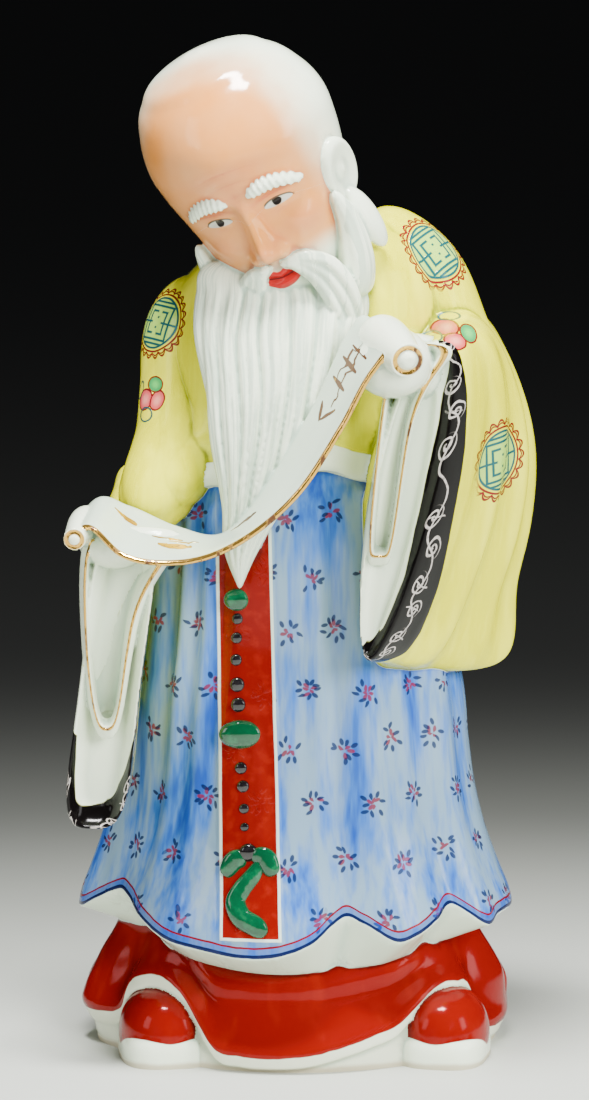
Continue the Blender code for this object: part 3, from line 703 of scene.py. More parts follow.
def face_relief(x, z):
    """How far the face stands out from the plain head, at x to its left and z up."""
    side = np.abs(x)
    nose = through(NOSE, z)
    nose_width = through(((-43, 4.6), (-36, 4.5), (-28, 3.3), (-18, 2.9), (-10, 3.4)), z)
    out = nose * hump(x, nose_width)
    out += 3.9 * hump(side - 5.9, 2.3) * hump(z + 37.6, 2.7)
    out -= 1.6 * hump(side - 2.7, 1.2) * hump(z + 41.6, 1.0)
    # Brow ridge, socket, eyeball, and the two lids with the slit between them
    out += 2.4 * hump(side - 13 - 0.1 * z, 8.5) * hump(z + 10.5 + 0.012 * (side - 12) ** 2, 2.8)
    bow = 0.035 * (side - EYE_SIDE) ** 2
    slit = z - EYE_LEVEL + 0.6 * bow
    out -= 3.2 * hump(side - EYE_SIDE, 7.0) * hump(z - EYE_LEVEL, 4.4)
    out += 2.7 * hump(side - EYE_SIDE, 5.4) * hump(z - EYE_LEVEL, 3.2)
    out -= 0.9 * hump(side - EYE_SIDE, 6.0) * hump(slit - 4.2, 0.9)
    out += 0.9 * hump(side - EYE_SIDE, 5.4) * hump(slit - 2.2, 1.0)
    out -= 0.9 * hump(side - EYE_SIDE, 4.8) * hump(slit, 0.8)
    out += 0.7 * hump(side - EYE_SIDE, 5.0) * hump(slit + 1.9 - bow, 0.9)
    # Cheeks, and the fold from the nose past the mouth
    out += 2.8 * hump(side - 17, 7.5) * hump(z + 31, 6.5)
    out -= 1.1 * hump(side - 8.5 + 0.42 * (z + 38), 1.7) * hump(z + 42, 6)
    # Lips, closed in a smile
    lip = z - LIP_LEVEL - 0.026 * x**2
    bowed = lip - 2.0 + 0.7 * hump(x, 1.6) - 0.5 * hump(side - 2.6, 1.8)
    out += hump(x, 8.2) * (1.7 * hump(bowed, 1.5) + 2.3 * hump(lip + 2.5, 1.8))
    out -= 1.1 * hump(x, 9.0) * hump(lip, 0.75)
    out -= 0.8 * hump(side - 10.2, 1.8) * hump(lip, 1.8)
    # Swelling of the forehead, with two shallow lines across it
    out += 1.8 * hump(x, 13) * hump(z - 5, 11)
    out -= 0.7 * hump(x, 13) * hump(z - 1.5 + 0.012 * x**2, 0.9)
    out -= 0.5 * hump(x, 10) * hump(z + 4.0 + 0.012 * x**2, 0.8)
    return out


def head(angle, share):
    """The head from under the chin to the crown, in the frame of the whole figure."""
    rotation, origin = head_frame()
    level = -66 + 52 * (1 - np.cos(share * math.pi))
    width, front, back = through(HEAD_STOPS, level).T
    ends = np.clip(np.minimum(share, 1 - share) / 0.02, 0, 1)
    facing = np.cos(angle)
    x = width * np.sin(angle) * ends - 1.8 * ease(5, 36, level)
    y = -np.where(facing > 0, front, back) * facing * ends
    y = y - face_relief(x, level) * ease(0.1, 0.6, facing)
    points = np.column_stack((x, y, level))
    return (points @ rotation.T + origin).T


def in_head(own):
    """A form of the head's own frame, moved into the figure's."""
    rotation, origin = head_frame()
    return own._replace(points=own.points @ rotation.T + origin)


def head_limb(owner, name, stops, strands=0, depth=0.0):
    """A tube placed in the head's own frame."""
    rotation, origin = head_frame()
    placed = [(share, (*(rotation @ np.array(p[:3]) + origin), p[3])) for share, p in stops]
    return limb(owner, name, placed, 72, 120, strands, depth)


def ear(side):
    """An ear with a rolled rim round a hollow, and a long lobe."""
    rotation = turned((12, side * 18, side * -26))
    # The ear on the far side of the face sits where it shows only from that side
    centre = (32.4, -9.5, -23.5) if side > 0 else (-30.6, 8.0, -6.0)

    def place(angle, share):
        around = np.sin(share * math.pi)
        x = 3.6 * around * np.sin(angle)
        y = -9.5 * around * np.cos(angle)
        z = -14.5 * np.cos(share * math.pi)
        away = np.hypot(y / 9.5, z / 14.5)
        outer = (np.sin(angle) * side > 0) * 1.0
        hollow = 2.3 * hump(away - 0.35, 0.32) * hump(z / 14.5 + 0.1, 0.9)
        hollow -= 0.6 * hump(away - 0.86, 0.16)
        x = x - side * outer * hollow
        points = np.column_stack((x, y, z)) @ rotation.T + centre
        return points.T

    return place


def brow(side):
    """A tufted eyebrow with combed ridges."""

    def place(angle, share):
        reach = 4.5 + 20 * share
        around = np.sqrt(np.clip(1 - (2 * share - 1) ** 4, 0, 1))
        comb = 1 + 0.26 * np.cos(TURN * 9 * share + 1.2 * np.sin(angle))
        level = -11.2 + 1.9 * np.sin(share * math.pi) - 4.5 * share**2.5
        x = side * reach
        front = through(HEAD_STOPS, level)[:, 1]
        width = through(HEAD_STOPS, level)[:, 0]
        surface = -front * np.sqrt(np.clip(1 - (reach / width) ** 2, 0.05, 1))
        y = surface - 1.5 - 2.1 * around * comb * np.cos(angle)
        z = level + 2.5 * around * comb * np.sin(angle)
        return x + 0 * y, y, z

    return place


def moustache(side):
    """Three tresses from under the nose down past the mouth."""
    tresses = []
    for number, (spread, drop) in enumerate(((0.0, 0.0), (4.0, 1.2), (8.0, 3.2))):
        tresses.append(
            head_limb(
                "beard", "moustache",
                ((0.0, (side * (1.8 + 0.3 * spread), -33.5, -42.8, 1.4)),
                 (0.2, (side * (7 + 0.45 * spread), -32.8 + 0.1 * spread, -44.6 + 0.3 * drop, 2.5)),
                 (0.45, (side * (11.8 + 0.8 * spread), -31.4 + 0.3 * spread, -53.5 + drop, 2.9)),
                 (0.72, (side * (13.4 + 0.95 * spread), -32 + 0.45 * spread, -66 + drop, 2.8)),
                 (1.0, (side * (12.6 + 0.9 * spread), -34 + 0.5 * spread, -86 + 3 * number, 1.3))),
                5, 0.6))
    return tresses


def head_shapes():
    """The head, its long-lobed ears, the brows, the moustache and the beard along the jaw."""
    shapes = [form("head", "head", head, 460, 420)]
    for side in (-1, 1):
        shapes += [
            in_head(form("ear", "ear", ear(side), 120, 120)),
            in_head(ball("ear", "lobe", (side * 33.0, -8, -46), (4.2, 6.5, 14.0),
                         (6, side * -4, side * -14), 80, 64)),
            in_head(form("brow", "brow", brow(side), 64, 160)),
            *moustache(side),
            head_limb(
                "beard", "jaw",
                ((0.0, (side * 29.5, -19, -28, 2.2)), (0.35, (side * 29.0, -17, -42, 4.6)),
                 (0.7, (side * 25, -18, -57, 7.0)), (1.0, (side * 18, -20, -70, 8.0))), 9, 0.6),
        ]
    return shapes


# What each owner's paint follows: turns round it, distance along it, and units for one turn
LINES = {
    "skirt": skirt_lines,
    "lower_skirt": lower_lines,
    "robe": robe_lines,
    "right_sleeve": sleeve_lines(RIGHT_SLEEVE, SLEEVE_RIM),
    "left_sleeve": sleeve_lines(LEFT_SLEEVE, SLEEVE_RIM),
    "right_inner": sleeve_lines(RIGHT_INNER, INNER_RIM),
    "left_inner": sleeve_lines(LEFT_INNER, INNER_RIM),
    "beard": beard_lines,
    "scroll": scroll_lines,
}


# Cloth over the arms and the neck, as stops of (share, (x, y, z, radius))
RIGHT_ARM = (
    (0, (25, -2, 317, 15)), (0.2, (35.5, -2, 314, 18)), (0.35, (45.5, -2, 304, 19.5)),
    (0.6, (54.5, -3, 278, 22)), (0.8, (62, -6, 256, 24)), (1, (64, -8, 236, 25)),
)
LEFT_ARM = (
    (0, (-27, -4, 297, 16.5)), (0.3, (-40, -5, 281, 19.5)), (0.5, (-42.5, -12, 260, 18.5)),
    (0.66, (-45.5, -20, 243, 17.5)), (0.84, (-54, -31, 225, 15.5)), (1, (-60, -44, 214, 13)),
)
LEFT_ARM_FRONT = (
    (0, (-24, -16, 285, 12)), (0.4, (-35, -21, 258, 13)), (0.75, (-41, -27, 238, 13)),
    (1, (-52, -40, 221, 12)),
)
RIGHT_FOREARM = ((0, (64, -12, 252, 22)), (0.6, (57, -32, 262, 19)), (1, (50, -44, 268, 14)))
RIGHT_CUFF = ((0, (54, -38, 270, 13)), (0.5, (48, -52, 275, 13)), (1, (40, -66, 279, 12)))
COLLAR = ((0, (2, 2, 322, 14)), (0.5, (23, -14, 317, 10)), (1, (20, -38, 300, 7)))


def figure_shapes(settings):
    """Every form of the figure, overlapping where the cast piece runs from one to the next."""
    unit = settings.height / UNITS
    wall = settings.sleeve_wall / unit
    return [
        form("lower_skirt", "lower_skirt", lower_skirt, 480, 130),
        form("skirt", "skirt", skirt(settings.apron_relief / unit), 720, 240),
        form("robe", "robe", robe, 320, 160),
        form("right_sleeve", "right_sleeve", sleeve(RIGHT_SLEEVE, 9, 2.7, 0.25, wall), 240, 260),
        form("left_sleeve", "left_sleeve", sleeve(LEFT_SLEEVE, 9, 1.2, 1.0, wall), 240, 220),
        form("right_inner", "right_inner", inner_sleeve(RIGHT_INNER, 5.2, 6, 0.0, 0.5), 160, 120),
        form("left_inner", "left_inner", inner_sleeve(LEFT_INNER, 3.3, 4, 0.25, 0.15), 160, 120),
        limb("arm", "arm", RIGHT_ARM),
        limb("arm", "arm", LEFT_ARM, 160, 160, 5, 0.9),
        limb("arm", "arm", LEFT_ARM_FRONT),
        limb("arm", "arm", RIGHT_FOREARM),
        limb("hand", "cuff", RIGHT_CUFF),
        limb("collar", "collar", COLLAR),
        ball("hand", "hand", (36, -70, 280), (15, 17, 13.5)),
        ball("hand", "hand", (-70, -55, 208), (13.5, 19, 9.5)),
        form("beard", "beard", beard, 720, 240),
        form("scroll", "scroll", scroll(settings.scroll_thickness / unit), 96, 420),
        form("right_roll", "right_roll", roll(*RIGHT_ROLL), 96, 96),
        form("left_roll", "left_roll", roll(*LEFT_ROLL), 72, 72),
        *shoe(-52, -56, 9, 17.5),
        *shoe(58, -57, -12, 17.0),
        *head_shapes(),
    ]


# From many forms to one glazed body


def joined(shapes):
    """The points and the corners of many forms together."""
    starts = np.cumsum([0] + [len(shape.points) for shape in shapes])
    corners = [shape.corners + start for shape, start in zip(shapes, starts)]
    return np.vstack([shape.points for shape in shapes]), np.vstack(corners)


def mesh_of(name, points, corners):
    """A mesh of triangles."""
    data = bpy.data.meshes.new(name)
    data.vertices.add(len(points))
    data.vertices.foreach_set("co", np.ascontiguousarray(points, np.float32).ravel())
    data.loops.add(corners.size)
    data.loops.foreach_set("vertex_index", corners.ravel().astype(np.int32))
    data.polygons.add(len(corners))
    data.polygons.foreach_set("loop_start", np.arange(0, corners.size, 3, dtype=np.int32))
    data.update(calc_edges=True)
    return data


def shown(name, data):
    """An object of a mesh, in the scene."""
    made = bpy.data.objects.new(name, data)
    bpy.context.scene.collection.objects.link(made)
    return made


def read(items, field, width, kind=np.float32):
    """One field of all items as an array."""
    values = np.empty(len(items) * width, kind)
    items.foreach_get(field, values)
    return values.reshape(-1, width) if width > 1 else values


def store(data, name, values):
    """Keeps one number for each point of a mesh."""
    field = data.attributes.new(name, "FLOAT", "POINT")
    field.data.foreach_set("value", values.astype(np.float32))


def modify(body, kind, **settings):
    """Adds a modifier to a body."""
    made = body.modifiers.new(kind.lower(), kind)
    for name, value in settings.items():
        setattr(made, name, value)


@contextmanager
def edited(data):
    """A mesh opened for editing, and written back afterwards."""
    mesh = bmesh.new()
    mesh.from_mesh(data)
    yield mesh
    mesh.to_mesh(data)
    mesh.free()


def applied(body):
    """The body's mesh once its modifiers have done their work."""
    data = bpy.data.meshes.new_from_object(body.evaluated_get(bpy.context.evaluated_depsgraph_get()))
    body.modifiers.clear()
    return data


def softened(data, rounds):
    """Places of a mesh's points once it is smoothed a number of times."""
    body = shown("softened", data)
    modify(body, "SMOOTH", factor=0.5, iterations=rounds)
    smooth = applied(body)
    points = read(smooth.vertices, "co", 3)
    bpy.data.objects.remove(body)
    bpy.data.meshes.remove(smooth)
    return points


def clay(shapes, unit, grain):
    """All forms as one dense skin, softened as a cast and glazed piece is."""
    points, corners = joined(shapes)
    body = shown("clay", mesh_of("clay", points * unit, corners))
    modify(body, "REMESH", mode="VOXEL", voxel_size=grain)
    modify(body, "SMOOTH", factor=0.5, iterations=2)
    body.data = applied(body)
    return body


def shell_labels(count, edges):
    """One number for each point, the same for all points of one shell."""
    label = np.arange(count)
    while True:
        low = np.minimum(label[edges[:, 0]], label[edges[:, 1]])
        fresh = label.copy()
        np.minimum.at(fresh, edges[:, 0], low)
        np.minimum.at(fresh, edges[:, 1], low)
        fresh = fresh[fresh]
        if np.array_equal(fresh, label):
            return label
        label = fresh


def outer_shell(data):
    """Leaves the one outer skin, without the shells of pockets closed up inside it."""
    edges = read(data.edges, "vertices", 2, np.int32)
    label = shell_labels(len(data.vertices), edges)
    names, counts = np.unique(label, return_counts=True)
    loose = np.flatnonzero(label != names[counts.argmax()])
    with edited(data) as mesh:
        mesh.verts.ensure_lookup_table()
        bmesh.ops.delete(mesh, geom=[mesh.verts[index] for index in loose], context="VERTS")


def cut_level(data):
    """A flat underside at the floor."""
    with edited(data) as mesh:
        cut = bmesh.ops.bisect_plane(
            mesh, geom=mesh.verts[:] + mesh.edges[:] + mesh.faces[:], plane_co=(0, 0, 0),
            plane_no=(0, 0, 1), clear_inner=True)
        rim = [edge for edge in cut["geom_cut"] if isinstance(edge, bmesh.types.BMEdge)]
        bmesh.ops.contextual_create(mesh, geom=rim)
        bmesh.ops.triangulate(mesh, faces=[face for face in mesh.faces if len(face.verts) > 3])


# How far behind the middle of the foot its vent hole is
VENT_BACK = 18


def drilled(body, settings, unit):
    """The body with the blind vent hole in its underside."""
    data = bpy.data.meshes.new("vent")
    with edited(data) as mesh:
        bmesh.ops.create_cone(
            mesh, cap_ends=True, segments=48, radius1=settings.vent_radius, radius2=settings.vent_radius,
            depth=2 * settings.vent_depth, matrix=Matrix.Translation(Vector((0, VENT_BACK, 0)) * unit))
    drill = shown("vent", data)
    modify(body, "BOOLEAN", operation="DIFFERENCE", object=drill)
    modify(body, "TRIANGULATE")
    body.data = applied(body)
    bpy.data.objects.remove(drill)


def tree_of(shapes):
    """A search tree over some forms."""
    points, corners = joined(shapes)
    return BVHTree.FromPolygons(points.tolist(), corners.tolist(), all_triangles=True)


def reach_of(points, tree, limit):
    """Distance from each point to the forms of a tree, at most limit."""
    found = (tree.find_nearest(point, limit)[3] for point in points)
    return np.array([limit if distance is None else distance for distance in found])


def followed(points, shape, lines):
    """The paint lines of a form, read at the points nearest to it."""
    tree = tree_of([shape])
    found = [tree.find_nearest(point) for point in points]
    place = np.array([hit[0] for hit in found])
    corners = shape.corners[[hit[2] for hit in found]]
    a, b, c = (shape.points[corners[:, n]] for n in range(3))
    normal = np.cross(b - a, c - a)
    size = (normal**2).sum(1) + 1e-12
    weight_b = (np.cross(place - a, c - a) * normal).sum(1) / size
    weight_c = (np.cross(b - a, place - a) * normal).sum(1) / size
    weights = np.clip(np.column_stack((1 - weight_b - weight_c, weight_b, weight_c)), 0, 1)
    weights /= weights.sum(1)[:, None]
    angle = shape.angle[corners]
    angle = angle - TURN * np.round((angle - angle[:, :1]) / TURN)
    angle = (angle * weights).sum(1)
    share = (shape.share[corners] * weights).sum(1)
    angle = (angle + math.pi) % TURN - math.pi
    return np.column_stack(lines(angle, share))


# Colours by the form that owns the surface
COLOURS = {
    "yellow": ("robe", "arm", "right_sleeve", "left_sleeve"),
    "blue": ("skirt",),
    "red": ("lower_skirt", "toe"),
    "skin": ("head",),
}
# The material of each owner's surface
WEARS = {
    "head": "face", "skirt": "skirt", "lower_skirt": "base", "toe": "base", "sole": "base",
    "robe": "robe", "arm": "robe", "right_sleeve": "right_cuff", "left_sleeve": "left_cuff",
    "right_inner": "gold_rim", "left_inner": "gold_rim", "scroll": "scroll",
    "right_roll": "roll", "left_roll": "roll", "beard": "hair", "brow": "white",
    "ear": "white", "hand": "white", "collar": "white",
}
# How far from a point forms are looked for, and what the paint's place is where no form gives one
NEAR = 6.0
FAR = 99.0


def dress(data, shapes, unit):
    """Gives each point how far it is inside each colour, and each corner its place on the paint."""
    points = read(data.vertices, "co", 3).astype(float) / unit
    owners = sorted({shape.owner for shape in shapes})
    spots = [tuple(point) for point in points]
    reach = np.column_stack(
        [reach_of(spots, tree_of([s for s in shapes if s.owner == owner]), NEAR) for owner in owners])
    for colour, own in COLOURS.items():
        mine = np.array([owner in own for owner in owners])
        inside = reach[:, ~mine].min(1) - reach[:, mine].min(1)
        store(data, colour, inside)
    corners = read(data.loops, "vertex_index", 1, np.int32).reshape(-1, 3)
    wearer = reach[corners].sum(1).argmin(1)
    lines = np.full((len(corners), 3, 3), FAR)
    for number, owner in enumerate(owners):
        faces = np.flatnonzero(wearer == number)
        if owner not in LINES or not len(faces):
            continue
        used, back = np.unique(corners[faces], return_inverse=True)
        shape = next(s for s in shapes if s.name == owner)
        found = followed([spots[index] for index in used], shape, LINES[owner])
        found = found[back.reshape(-1, 3)]
        found[:, :, 0] -= np.round(found[:, :, 0] - found[:, :1, 0])
        lines[faces] = found
    cloth = data.attributes.new("cloth", "FLOAT_VECTOR", "CORNER")
    cloth.data.foreach_set("vector", lines.ravel().astype(np.float32))
    return [WEARS[owners[number]] for number in wearer]


# Paint, drawn with nodes


def sums(operation):
    """Two methods that add the node of one sum, with the value's own place first or second."""
    return (
        lambda value, other: value.paint.math(operation, value, other),
        lambda value, other: value.paint.math(operation, other, value),
    )


class Value:
    """What a node gives. A sum written with it adds the node that works out that sum."""

    __add__, __radd__ = sums("ADD")
    __sub__, __rsub__ = sums("SUBTRACT")
    __mul__, __rmul__ = sums("MULTIPLY")
    __truediv__, __rtruediv__ = sums("DIVIDE")

    def __init__(self, paint, socket):
        self.paint = paint
        self.socket = socket

    def __abs__(self):
        return self.paint.math("ABSOLUTE", self)


class Paint:
    """Adds nodes to one node tree. Each value given may be what a node gives, or a plain value."""

    def __init__(self, tree):
        self.tree = tree

    def feed(self, socket, value):
        if isinstance(value, Value):
            self.tree.links.new(value.socket, socket)
        elif value is not None:
            socket.default_value = value

    def node(self, kind, *values, **settings):
        made = self.tree.nodes.new(kind)
        for name, value in settings.items():
            setattr(made, name, value)
        for index, value in enumerate(values):
            self.feed(made.inputs[index], value)
        return made

    def given(self, node):
        """All that a node gives, by name and by number."""
        return {
            key: Value(self, socket)
            for index, socket in enumerate(node.outputs) for key in (index, socket.name)}

    def first(self, kind, *values, **settings):
        """The first output of a new node."""
        return Value(self, self.node(kind, *values, **settings).outputs[0])

    def math(self, operation, *values):
        return self.first("ShaderNodeMath", *values, operation=operation)

    def least(self, a, b):
        return self.math("MINIMUM", a, b)

    def most(self, a, b):
        return self.math("MAXIMUM", a, b)

    def step(self, low, high, value):
        """0 below low, 1 above high, and a smooth rise between."""
        return self.first("ShaderNodeMapRange", value, low, high, interpolation_type="SMOOTHSTEP")

    def line(self, value, half_width):
        """1 where value is near 0, with soft edges."""
        return self.step(half_width * 1.35, half_width * 0.65, abs(value))

    def length(self, a, b):
        return self.math("SQRT", a * a + b * b)

    def blend(self, factor, a, b):
        made = self.node("ShaderNodeMix", data_type="RGBA")
        self.feed(made.inputs[0], factor)
        self.feed(made.inputs[6], a)
        self.feed(made.inputs[7], b)
        return Value(self, made.outputs[2])

    def attribute(self, name, kind="Fac"):
        return self.given(self.node("ShaderNodeAttribute", attribute_name=name))[kind]

    def apart(self, vector):
        made = self.node("ShaderNodeSeparateXYZ", vector)
        return [Value(self, socket) for socket in made.outputs]

    def cloth(self):
        """Place on the paint: turns round the form, distance along it, and units for one turn."""
        return self.apart(self.attribute("cloth", "Vector"))

    def vector(self, x, y, z=0.0):
        return self.first("ShaderNodeCombineXYZ", x, y, z)

    def vectors(self, operation, *values):
        """A sum of vectors, or the one number that a dot product or a distance gives."""
        made = self.given(self.node("ShaderNodeVectorMath", *values, operation=operation))
        return made["Value" if operation in ("DOT_PRODUCT", "DISTANCE") else "Vector"]

    def place(self):
        return self.given(self.node("ShaderNodeTexCoord"))["Object"]

    def in_units(self):
        """Place on the figure at its full size, as x, y and z in units."""
        return self.apart(self.mapped(self.place(), scale=(1000, 1000, 1000)))

    def mapped(self, vector, location=(0, 0, 0), rotation=(0, 0, 0), scale=(1, 1, 1), kind="POINT"):
        return self.first("ShaderNodeMapping", vector, location, rotation, scale, vector_type=kind)

    def noise(self, vector, scale, detail=2.0, roughness=0.5):
        made = self.node("ShaderNodeTexNoise")
        for name, value in (
            ("Vector", vector), ("Scale", scale), ("Detail", detail), ("Roughness", roughness),
        ):
            self.feed(made.inputs[name], value)
        return Value(self, made.outputs[0])

    def swayed(self, scale):
        """A soft change from place to place, from -0.5 to 0.5."""
        return self.noise(self.mapped(self.place(), scale=scale), 1.0) - 0.5

    def chance(self, vector):
        """Three random numbers from 0 to 1 for each whole-number place."""
        made = self.node("ShaderNodeTexWhiteNoise", vector, noise_dimensions="3D")
        return self.apart(self.given(made)["Color"])

    def group(self, name, *values):
        return self.given(self.node("ShaderNodeGroup", *values, node_tree=bpy.data.node_groups[name]))

    def bump(self, distance, height):
        made = self.node("ShaderNodeBump")
        self.feed(made.inputs["Distance"], distance)
        self.feed(made.inputs["Height"], height)
        return Value(self, made.outputs[0])

    def surface(self, **inputs):
        """Ends a material, with the inputs of its shader by name."""
        shader = self.node("ShaderNodeBsdfPrincipled")
        for name, value in inputs.items():
            self.feed(shader.inputs[name.replace("_", " ")], value)
        self.node("ShaderNodeOutputMaterial", Value(self, shader.outputs[0]))


def material_of(name):
    """A new material, and the paint for its empty node tree."""
    material = bpy.data.materials.new(name)
    material.use_nodes = True
    material.node_tree.nodes.clear()
    return material, Paint(material.node_tree)


COLOUR_SOCKETS = ("Colour", "White", "Clear", "Red")
VECTOR_SOCKETS = ("Vector", "Point", "Start", "End")


def effect(draw, takes, gives):
    """A shared node group. draw(paint, inputs) returns its outputs in order."""
    tree = bpy.data.node_groups.new(draw.__name__, "ShaderNodeTree")
    for way, names in (("INPUT", takes), ("OUTPUT", gives)):
        for name in names.split():
            kind = "Color" if name in COLOUR_SOCKETS else "Vector" if name in VECTOR_SOCKETS else "Float"
            tree.interface.new_socket(name, in_out=way, socket_type="NodeSocket" + kind)
    paint = Paint(tree)
    results = draw(paint, paint.given(tree.nodes.new("NodeGroupInput")))
    paint.node("NodeGroupOutput", *results)


WHITE = (0.74, 0.82, 0.64, 1)
# A greener grey: for glaze lying thick in fine grooves, and for painted shade on the white glaze
CELADON = (0.34, 0.46, 0.36, 1)
BISCUIT = (0.42, 0.36, 0.24, 1)
# Pale and deep tones of each enamel: used for its uneven laying, and also for painted light on ridges
# and painted shade in hollows
LEMON = (0.62, 0.60, 0.0, 1)
LEMON_PALE = (0.78, 0.76, 0.03, 1)
LEMON_DEEP = (0.17, 0.20, 0.0, 1)
WASH = (0.040, 0.15, 0.48, 1)
WASH_PALE = (0.18, 0.29, 0.40, 1)
WASH_DEEP = (0.004, 0.04, 0.32, 1)
IRON = (0.17, 0.003, 0.002, 1)
IRON_PALE = (0.27, 0.012, 0.005, 1)
IRON_DEEP = (0.07, 0.002, 0.001, 1)
GOLD = (0.80, 0.46, 0.09, 1)
GOLD_WORN = (0.08, 0.035, 0.015, 1)
INK = (0.0025, 0.002, 0.002, 1)
NAVY = (0.006, 0.010, 0.05, 1)
OXIDE = (0.16, 0.006, 0.010, 1)
TEAL = (0.008, 0.07, 0.08, 1)
SALMON = (0.66, 0.22, 0.022, 1)
SALMON_DEEP = (0.46, 0.05, 0.004, 1)
EYE_WHITE = (0.52, 0.50, 0.42, 1)
IRIS = (0.012, 0.010, 0.009, 1)
LID = (0.03, 0.02, 0.015, 1)
LIP = (0.42, 0.012, 0.012, 1)
LIP_DEEP = (0.10, 0.003, 0.004, 1)
BADGE_GREEN = (0.22, 0.55, 0.12, 1)
PALE_INK = (0.55, 0.50, 0.46, 1)


def glazed_ground(paint, takes):
    """Glaze and plain enamel over the whole body, each colour where its own cloth is."""
    place = paint.place()
    pool = paint.attribute("pool")
    basin = paint.attribute("basin")
    drift = paint.noise(paint.mapped(place, scale=(75, 75, 14)), 1.0, 3.0)
    brush = paint.noise(paint.mapped(place, scale=(420, 420, 45)), 1.0, 2.0)
    # Colours are painted darker and greener in creases and wide hollows, and paler on ridges. In the
    # narrow creases that is partly the glaze and enamel lying thicker; the rest is painted shade in the
    # hollows and painted light on the ridges.
    crease = paint.step(0.02, 0.42, pool)
    hollow = crease + 0.6 * paint.step(0.1, 1.1, basin)
    hollow = paint.least(hollow, 1.0)
    ridge = paint.step(-0.05, -0.4, pool)
    # White glaze goes greener in the creases and hollows: thicker glaze there, and painted shade
    white = paint.blend(hollow * 0.75, WHITE, CELADON)
    foot = paint.step(0.0042, 0.0022, paint.apart(place)[2] + 0.002 * drift)
    white = paint.blend(foot * 0.8, white, BISCUIT)
    yellow = paint.blend(paint.step(0.40, 0.72, drift), LEMON, LEMON_PALE)
    # Painted light on the yellow's ridges and painted shade in its hollows
    yellow = paint.blend(ridge * 0.7, yellow, LEMON_PALE)
    yellow = paint.blend(hollow * 0.9, yellow, LEMON_DEEP)
    yellow = paint.blend(0.25 * paint.step(0.5, 0.7, brush), yellow, LEMON_PALE)
    wash = 0.75 * drift + 0.25 * brush
    blue = paint.blend(paint.step(0.40, 0.60, wash), WASH_PALE, WASH)
    blue = paint.blend(0.8 * paint.step(0.55, 0.68, wash), blue, WASH_DEEP)
    # Painted light on the blue's ridges and painted shade in its creases
    blue = paint.blend(ridge * 0.75, blue, WASH_PALE)
    blue = paint.blend(crease * 0.7, blue, WASH_DEEP)
    red = paint.blend(0.6 * paint.step(0.5, 0.75, drift), IRON, IRON_PALE)
    # Painted light on the red's ridges and painted shade in its hollows
    red = paint.blend(ridge * 0.5, red, IRON_PALE)
    red = paint.blend(hollow * 0.8, red, IRON_DEEP)
    colour = white
    for name, tint in (("yellow", yellow), ("blue", blue), ("red", red)):
        edge = paint.attribute(name) + 0.5 * (drift - 0.5)
        colour = paint.blend(paint.step(-0.05, 0.3, edge), colour, tint)
    ripple = paint.noise(paint.mapped(place, scale=(160, 160, 110)), 1.0, 1.0)
    height = ripple + 0.25 * brush
    rough = 0.1 + (0.05 * drift + 0.45 * foot)
    # The lining's white keeps a quarter of that painted shade in the hollows
    clear = paint.blend(hollow * 0.25, WHITE, CELADON)
    return colour, rough, height, white, clear, red


def gilding(paint, takes):
    """Gold laid over a colour, worn away in places to its dark ground."""
    place = paint.place()
    wear = paint.noise(paint.mapped(place, scale=(260, 260, 90)), 1.0, 3.0, 0.65)
    worn = paint.step(0.57, 0.66, wear + takes["Worn"])
    mask = takes["Mask"]
    tint = paint.blend(worn, GOLD, GOLD_WORN)
    metal = mask * (1 - worn)
    return paint.blend(mask, takes["Colour"], tint), metal * 0.92


def dash_ring(paint, takes):
    """A ring of short brush strokes that point outward from the middle."""
    x, y, seed = takes["X"], takes["Y"], takes["Seed"]
    count = takes["Count"]
    angle = paint.math("ARCTAN2", y, x)
    number = paint.math("ROUND", angle * (count / TURN))
    chance = paint.chance(paint.vector(paint.math("FLOORED_MODULO", number, count), seed, count))
    off = angle - number * (TURN / count)
    off = off - 0.5 * (chance[0] - 0.5)
    away = paint.length(x, y)
    out = away * paint.math("COSINE", off) - takes["Radius"]
    out = out - 2.2 * (chance[1] - 0.5)
    side = away * paint.math("SINE", off)
    side = side + 1.3 * (chance[2] - 0.5) * out
    reach = paint.length(out / takes["Length"], side / takes["Width"])
    there = paint.step(0.17, 0.18, chance[2])
    return (there * paint.step(1.15, 0.75, reach),)


# Sprigs on the skirt: how many go round it, and the height of a row
COLUMNS = 19.0
ROW_HEIGHT = 22.2


def sprigs(paint, takes):
    """Small sprigs of short strokes, in staggered rows round the skirt."""
    turns, _, per_turn = paint.cloth()
    level = (paint.apart(paint.place())[2] * 1000.0 - 61.0) / ROW_HEIGHT
    row = paint.math("ROUND", level)
    shift = 0.5 * paint.math("FLOORED_MODULO", row, 2.0)
    along = turns * COLUMNS + shift + 0.18
    column = paint.math("ROUND", along)
    chance = paint.chance(paint.vector(paint.math("FLOORED_MODULO", column, COLUMNS), row, 3.0))
    x = per_turn / COLUMNS * (along - column)
    y = ROW_HEIGHT * (level - row)
    x = x + 4.0 * (chance[0] - 0.5)
    y = y + 4.0 * (chance[1] - 0.5)
    turn = TURN * chance[2]
    flat = paint.vector(x, y)
    spot = paint.first("ShaderNodeVectorRotate", flat, None, None, turn, rotation_type="Z_AXIS")
    x, y, _ = paint.apart(spot)
    seed = column * 7.0 + row * 31.0
    inner = paint.group("dash_ring", x, y, seed, 6.0, 1.5, 1.5, 0.85)[0]
    outer = paint.group("dash_ring", x, y, seed, 9.0, 3.7, 1.5, 0.85)[0]
    return inner, outer


